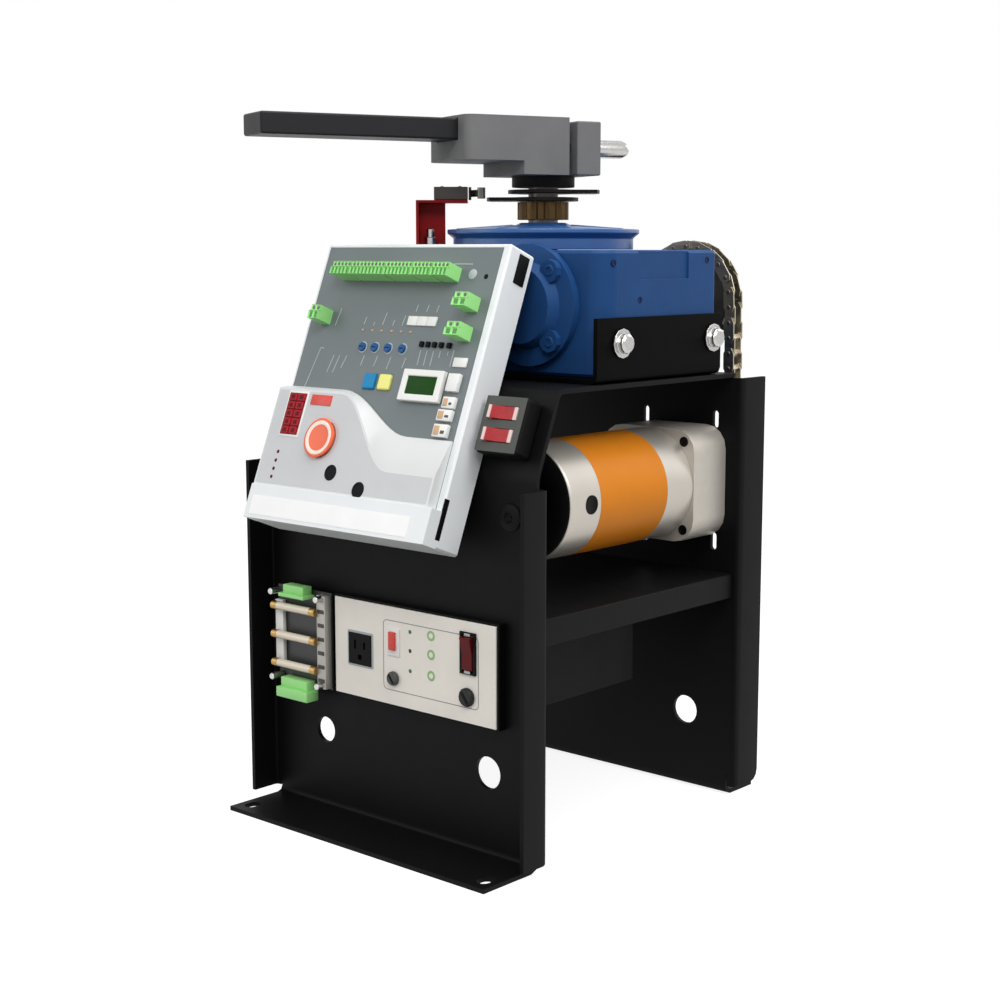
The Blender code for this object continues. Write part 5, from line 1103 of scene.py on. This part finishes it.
    def connectors(self):
        """Column of white plugs at the right, with tan pins in all but the first."""
        shells = [(75.8, 64.0, 89.7, 81.0), (76.7, 48.0, 91.1, 58.7), (74.2, 36.0, 91.3, 46.6)]
        shells.append((74.0, 20.6, 91.0, 32.7))
        self.fit("plug_shells", bars(shells, 4.6, 0.2, 0.6), "white_nylon")
        pins = []
        sockets = []
        for left, low, right, high in shells[1:]:
            middle = (left + right) / 2
            pins.append((left + 1.6, low + 1.8, middle - 0.6, high - 1.8))
            sockets.append((middle + 1.4, low + 3.0, right - 2.4, (low + high) / 2))
        self.fit("plug_pins", bars(pins, 5.2, -4.4, 0.3), "tan_nylon")
        self.fit("plug_sockets", bars(sockets, 4.8, -4.4), "switch_phenolic")

    def leaders(self):
        """Plain printed leader lines."""
        lines = [(42.0, 188.0, 66.0, 188.0)]
        lines += [(x, 140.0, x + 1.0, 147.0) for x in (9.0, 23.0, 36.0)]
        lines += [(-56.0, 125.5, -55.0, 133.0), (-43.0, 124.5, -42.0, 128.0), (-31.0, 125.5, -28.5, 138.0)]
        lines += [(-17.0, 125.0, -16.0, 131.0), (-4.5, 125.5, -3.0, 136.0), (-96.0, 123.0, -93.0, 141.0)]
        lines += [(-115.7, 58.9, -107.7, 99.5), (-107.7, 99.5, -103.0, 99.5)]
        lines += [(x, low, x + 4.0, 93.0) for x, low in ((-90.0, 75.0), (-82.0, 75.0), (-72.0, 80.0))]
        lines += [(x, low, x, 102.5) for x, low in zip(POSTS, (87.7, 87.7, 87.7, 96.0, 98.5))]
        lines += [(70.5, 88.0, 70.5, 104.0)]
        trimmed = ((-46.0, 84.0), (-28.0, 84.0), (-10.0, 82.0), (10.0, 84.0))
        lines += [(x, low, x + 2.0, 94.0) for x, low in trimmed]
        width = sizes().line / MM * 1.3
        self.fit("face_leaders", strokes(lines, width, sizes().film / MM), "pale_print")


class GATEDRIVE_OT_rockers(bpy.types.Operator):
    """Rocker box on the right of the control box, with its two lit rockers"""

    bl_idname = "gate_drive.rockers"
    bl_label = "Rocker box"

    def execute(self, context):
        skin("rocker_box", "black_nylon", sizes().moulding_edge * 0.6, 3)
        for node in ("rocker_upper", "rocker_lower"):
            skin(node, "rocker_lens", sizes().fine_edge)
        self.bezel()
        return {"FINISHED"}

    def bezel(self):
        """Grey plate on the box's front, in strips round the two rockers."""
        place = face_place()
        side, gap = 1.2, 0.6
        left, low, right, high, front = self.edges("rocker_box", place)
        left, right = left + side, right - side
        low, high = low + side, high - side
        lower, upper = (self.edges(node, place) for node in ("rocker_lower", "rocker_upper"))
        start, end = min(lower[0], upper[0]) - gap, max(lower[2], upper[2]) + gap
        strips = [(left, low, start, high), (end, low, right, high)]
        levels = (low, lower[1] - gap, lower[3] + gap, upper[1] - gap, upper[3] + gap, high)
        strips += [(start, below, end, above) for below, above in zip(levels[::2], levels[1::2])]
        proud = 0.25 - front
        piece("rocker_bezel", bars(strips, proud, 0.3 - proud), "grey_nylon", place=place)

    def edges(self, node, place):
        """Left, low, right and high edges and the front of a node in the control box's frame, in mm."""
        back = place.inverted()
        corners = [back @ vertex.co / MM for vertex in frame["nodes"][node].data.vertices]
        xs, ys, zs = zip(*corners)
        return min(xs), min(zs), max(xs), max(zs), min(ys)


class GATEDRIVE_OT_power_panel(Fitted, bpy.types.Operator):
    """Painted power panel with its outlet, switch, fuse holders, lamps and printed lines"""

    bl_idname = "gate_drive.power_panel"
    bl_label = "Power panel"

    def execute(self, context):
        fine = sizes().fine_edge
        skin("power_panel", "painted_panel", fine)
        skin("outlet", "black_nylon", fine)
        skin("power_switch_body", "black_nylon", fine * 1.5)
        skin("power_rocker", "power_rocker_lens", fine)
        skin("fuse_holder_left", "grey_nylon", fine)
        skin("fuse_holder_right", "dark_grey_nylon", fine)
        self.place = Matrix.Translation((0.0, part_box("power_panel")[0].y, 0.0))
        self.printed()
        self.lamps()
        self.fit("breaker_frame", bars([(-1.7, 179.2, 14.2, 206.2)], 1.6, 0.1, 0.6), "white_nylon")
        self.fit("breaker_lever", bars([(2.0, 185.0, 10.4, 203.0)], 4.4, -1.3, 0.9), "red_lamp")
        self.marks()
        return {"FINISHED"}

    def printed(self):
        """Thin outline round the controls, three green rings, and a frame round the outlet."""
        film = sizes().film / MM * 0.6
        outline = rim(124.4, 68.8, 5.0, sizes().line / MM, film)
        self.fit("panel_outline", moved(outline, Matrix.Translation((0.0538, 0.0, 0.1791))), "grey_print")
        rings = [(55.5, 0.0, z) for z in (206.0, 187.8, 167.5)]
        disc = [(0, film), (5.0, film), (5.0, -0.05), (0, -0.05)]
        self.fit("panel_rings", studs(rings, disc), "green_print")
        core = [(0, film + 0.1), (2.6, film + 0.1), (2.6, 0.0), (0, 0.0)]
        self.fit("panel_ring_cores", studs(rings, core), "painted_panel")
        middle = centre("outlet")
        surround = moved(rim(35.5, 35.5, 2.0, 2.3, 0.5), Matrix.Translation((middle.x, 0.0, middle.z)))
        self.fit("outlet_surround", surround, "pale_print")

    def lamps(self):
        """Three lamps in a column, each in a low ring."""
        radius = sizes().lamp / MM
        ring, low = radius * 1.4, radius * 0.1
        dome = [(0.0, radius), (radius * 0.7, radius * 0.75), (radius, low), (ring, low)]
        dome += [(ring, -0.1), (0.0, -0.1)]
        rows = (("top", 205.7, "green_lamp"), ("middle", 187.2, "dim_lamp"), ("low", 167.7, "green_lamp"))
        for name, z, finish_name in rows:
            self.fit("lamp_" + name, studs([(27.8, 0.0, z)], dome, 24), finish_name)

    def marks(self):
        """Painted shade in the fuse caps' screwdriver slots, and pale ends on the power switch's frame."""
        slots = []
        for node in ("fuse_holder_left", "fuse_holder_right"):
            low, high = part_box(node)
            middle = centre(node)
            half = (high.x - low.x) * 0.36
            rise = (high.z - low.z) * 0.1
            slant = 0.9
            # Black bar across the cap: painted shade in its slot.
            slot = block((-half, -0.1 * MM, -rise), (half, 0.3 * MM, rise), 0.05 * MM)
            place = Matrix.Translation((middle.x, low.y, middle.z)) @ Matrix.Rotation(slant, 4, "Y")
            slots.append(moved(slot, place))
        piece("fuse_slot_shade", gather(*slots), "black_nylon")
        middle = centre("power_switch_body")
        marks = bars([(-3.6, -18.9, 3.6, -16.4), (-3.6, 16.4, 3.6, 18.9)], 0.3, 0.1, 0.1)
        place = Matrix.Translation((middle.x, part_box("power_switch_body")[0].y, middle.z))
        piece("switch_marks", marks, "pale_print", place=place)


class GATEDRIVE_OT_surge_module(Fitted, bpy.types.Operator):
    """Surge module: board on pegs, glazed tube fuses in clips, and two plugs"""

    bl_idname = "gate_drive.surge_module"
    bl_label = "Surge module"

    def execute(self, context):
        skin("surge_board", "board_laminate", sizes().fine_edge)
        for k in range(1, 4):
            self.tube(f"surge_fuse_{k}")
        self.plug("surge_plug_top", 0.3)
        self.plug("surge_plug_bottom", 0.5)
        self.place = Matrix.Translation((0.0, PANEL_FRONT, 0.0))
        self.board_fittings()
        return {"FINISHED"}

    def tube(self, node):
        """Glazed tube with a metal cap on each end."""
        low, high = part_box(node)
        middle = centre(node)
        radius = (high.z - low.z) / 2 / MM
        span = (high.x - low.x) / MM
        cap, rounding = 8.0, 0.5
        place = facing((low.x, middle.y, middle.z), RIGHT)
        waist = radius * 0.88
        start, end = cap * 0.8, span - cap * 0.8
        tube = lathe([(0.0, start), (waist, start), (waist, end), (0.0, end)], 36)
        piece(node + "_tube", tube, "glazed_tube", replaces=(node,), place=place)
        wide = radius * 0.97
        caps = []
        for start, end in ((0.0, cap), (span - cap, span)):
            rounded = [(0.0, start), (radius * 0.85, start), (wide, start + rounding)]
            rounded += [(wide, end - rounding), (radius * 0.9, end), (0.0, end)]
            caps.append(lathe(rounded, 36))
        piece(node + "_caps", gather(*caps), "tinned_brass", place=place)

    def plug(self, node, share):
        """Green plug in two tiers: its lower share stands out further than the rest."""
        low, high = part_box(node)
        split = low.z + (high.z - low.z) * share
        edge = sizes().fine_edge * 2
        upper = block((low.x + 3.0 * MM, low.y + 4.0 * MM, split), (high.x - 4.0 * MM, high.y, high.z), edge)
        lower = block(low, (high.x, high.y, split + 0.2 * MM), edge)
        piece(node + "_tiers", gather(upper, lower), "terminal_nylon", replaces=(node,))

    def board_fittings(self):
        """Bright sleeves on the pegs, the pale rail at the left and the cast strip at the right."""
        pegs = [(x, 0.0, z) for x in (-155.0, -88.0) for z in (135.0, 223.0)]
        sleeve = [(0.0, 28.3), (2.6, 28.3), (3.3, 27.6), (3.3, 13.0), (0.0, 13.0)]
        self.fit("peg_sleeves", studs(pegs, sleeve, 24), "zinc_plate")
        self.fit("surge_rail", bars([(-160.2, 144.2, -148.8, 212.8)], 16.6, -12.2, 0.5), "white_nylon")
        self.fit("surge_strip", bars([(-94.2, 131.8, -81.8, 226.2)], 20.6, -12.2, 0.6), "varistor_strip")
        cells = [(-92.6, z, -83.4, z + 4.0) for z in (138.0, 152.0, 166.0, 180.0, 194.0, 208.0)]
        self.fit("surge_cells", bars(cells, 21.0, -20.4, 0.2), "board_laminate")


class GATEDRIVE_OT_inner_parts(bpy.types.Operator):
    """Finishes of the worm pair and the bearings inside the gearbox"""

    bl_idname = "gate_drive.inner_parts"
    bl_label = "Inner parts"

    def execute(self, context):
        paint("worm_shaft", "oiled_steel")
        paint("worm_wheel", "machined_bronze")
        bearings = ["worm_bearing_front", "worm_bearing_rear"]
        bearings += ["output_bearing_lower", "output_bearing_upper"]
        for node in bearings:
            paint(node, "zinc_plate")
        return {"FINISHED"}


STEPS = (
    GATEDRIVE_OT_stage,
    GATEDRIVE_OT_chassis,
    GATEDRIVE_OT_gearbox,
    GATEDRIVE_OT_drive,
    GATEDRIVE_OT_arm,
    GATEDRIVE_OT_limits,
    GATEDRIVE_OT_control_box,
    GATEDRIVE_OT_control_face,
    GATEDRIVE_OT_rockers,
    GATEDRIVE_OT_power_panel,
    GATEDRIVE_OT_surge_module,
    GATEDRIVE_OT_inner_parts,
)


class GATEDRIVE_PT_sidebar(bpy.types.Panel):
    """Lists the steps that build the gate drive's looks"""

    bl_label = "Gate drive"
    bl_idname = "GATEDRIVE_PT_sidebar"
    bl_space_type = "VIEW_3D"
    bl_region_type = "UI"
    bl_category = "Gate drive"

    def draw(self, context):
        for step in STEPS:
            self.layout.operator(step.bl_idname)
        for group in (context.scene.gate_drive_sizes, context.scene.gate_drive_colours):
            for key in group.__annotations__:
                self.layout.prop(group, key)


CLASSES = (GateDriveColours, GateDriveSizes, *STEPS, GATEDRIVE_PT_sidebar)


def register():
    for cls in CLASSES:
        bpy.utils.register_class(cls)
    bpy.types.Scene.gate_drive_colours = bpy.props.PointerProperty(type=GateDriveColours)
    bpy.types.Scene.gate_drive_sizes = bpy.props.PointerProperty(type=GateDriveSizes)


def unregister():
    del bpy.types.Scene.gate_drive_sizes
    del bpy.types.Scene.gate_drive_colours
    for cls in reversed(CLASSES):
        bpy.utils.unregister_class(cls)


def main():
    register()
    bpy.ops.gate_drive.stage()
    bpy.ops.gate_drive.chassis()
    bpy.ops.gate_drive.gearbox()
    bpy.ops.gate_drive.drive()
    bpy.ops.gate_drive.arm()
    bpy.ops.gate_drive.limits()
    bpy.ops.gate_drive.control_box()
    bpy.ops.gate_drive.control_face()
    bpy.ops.gate_drive.rockers()
    bpy.ops.gate_drive.power_panel()
    bpy.ops.gate_drive.surge_module()
    bpy.ops.gate_drive.inner_parts()


if __name__ == "__main__":
    main()
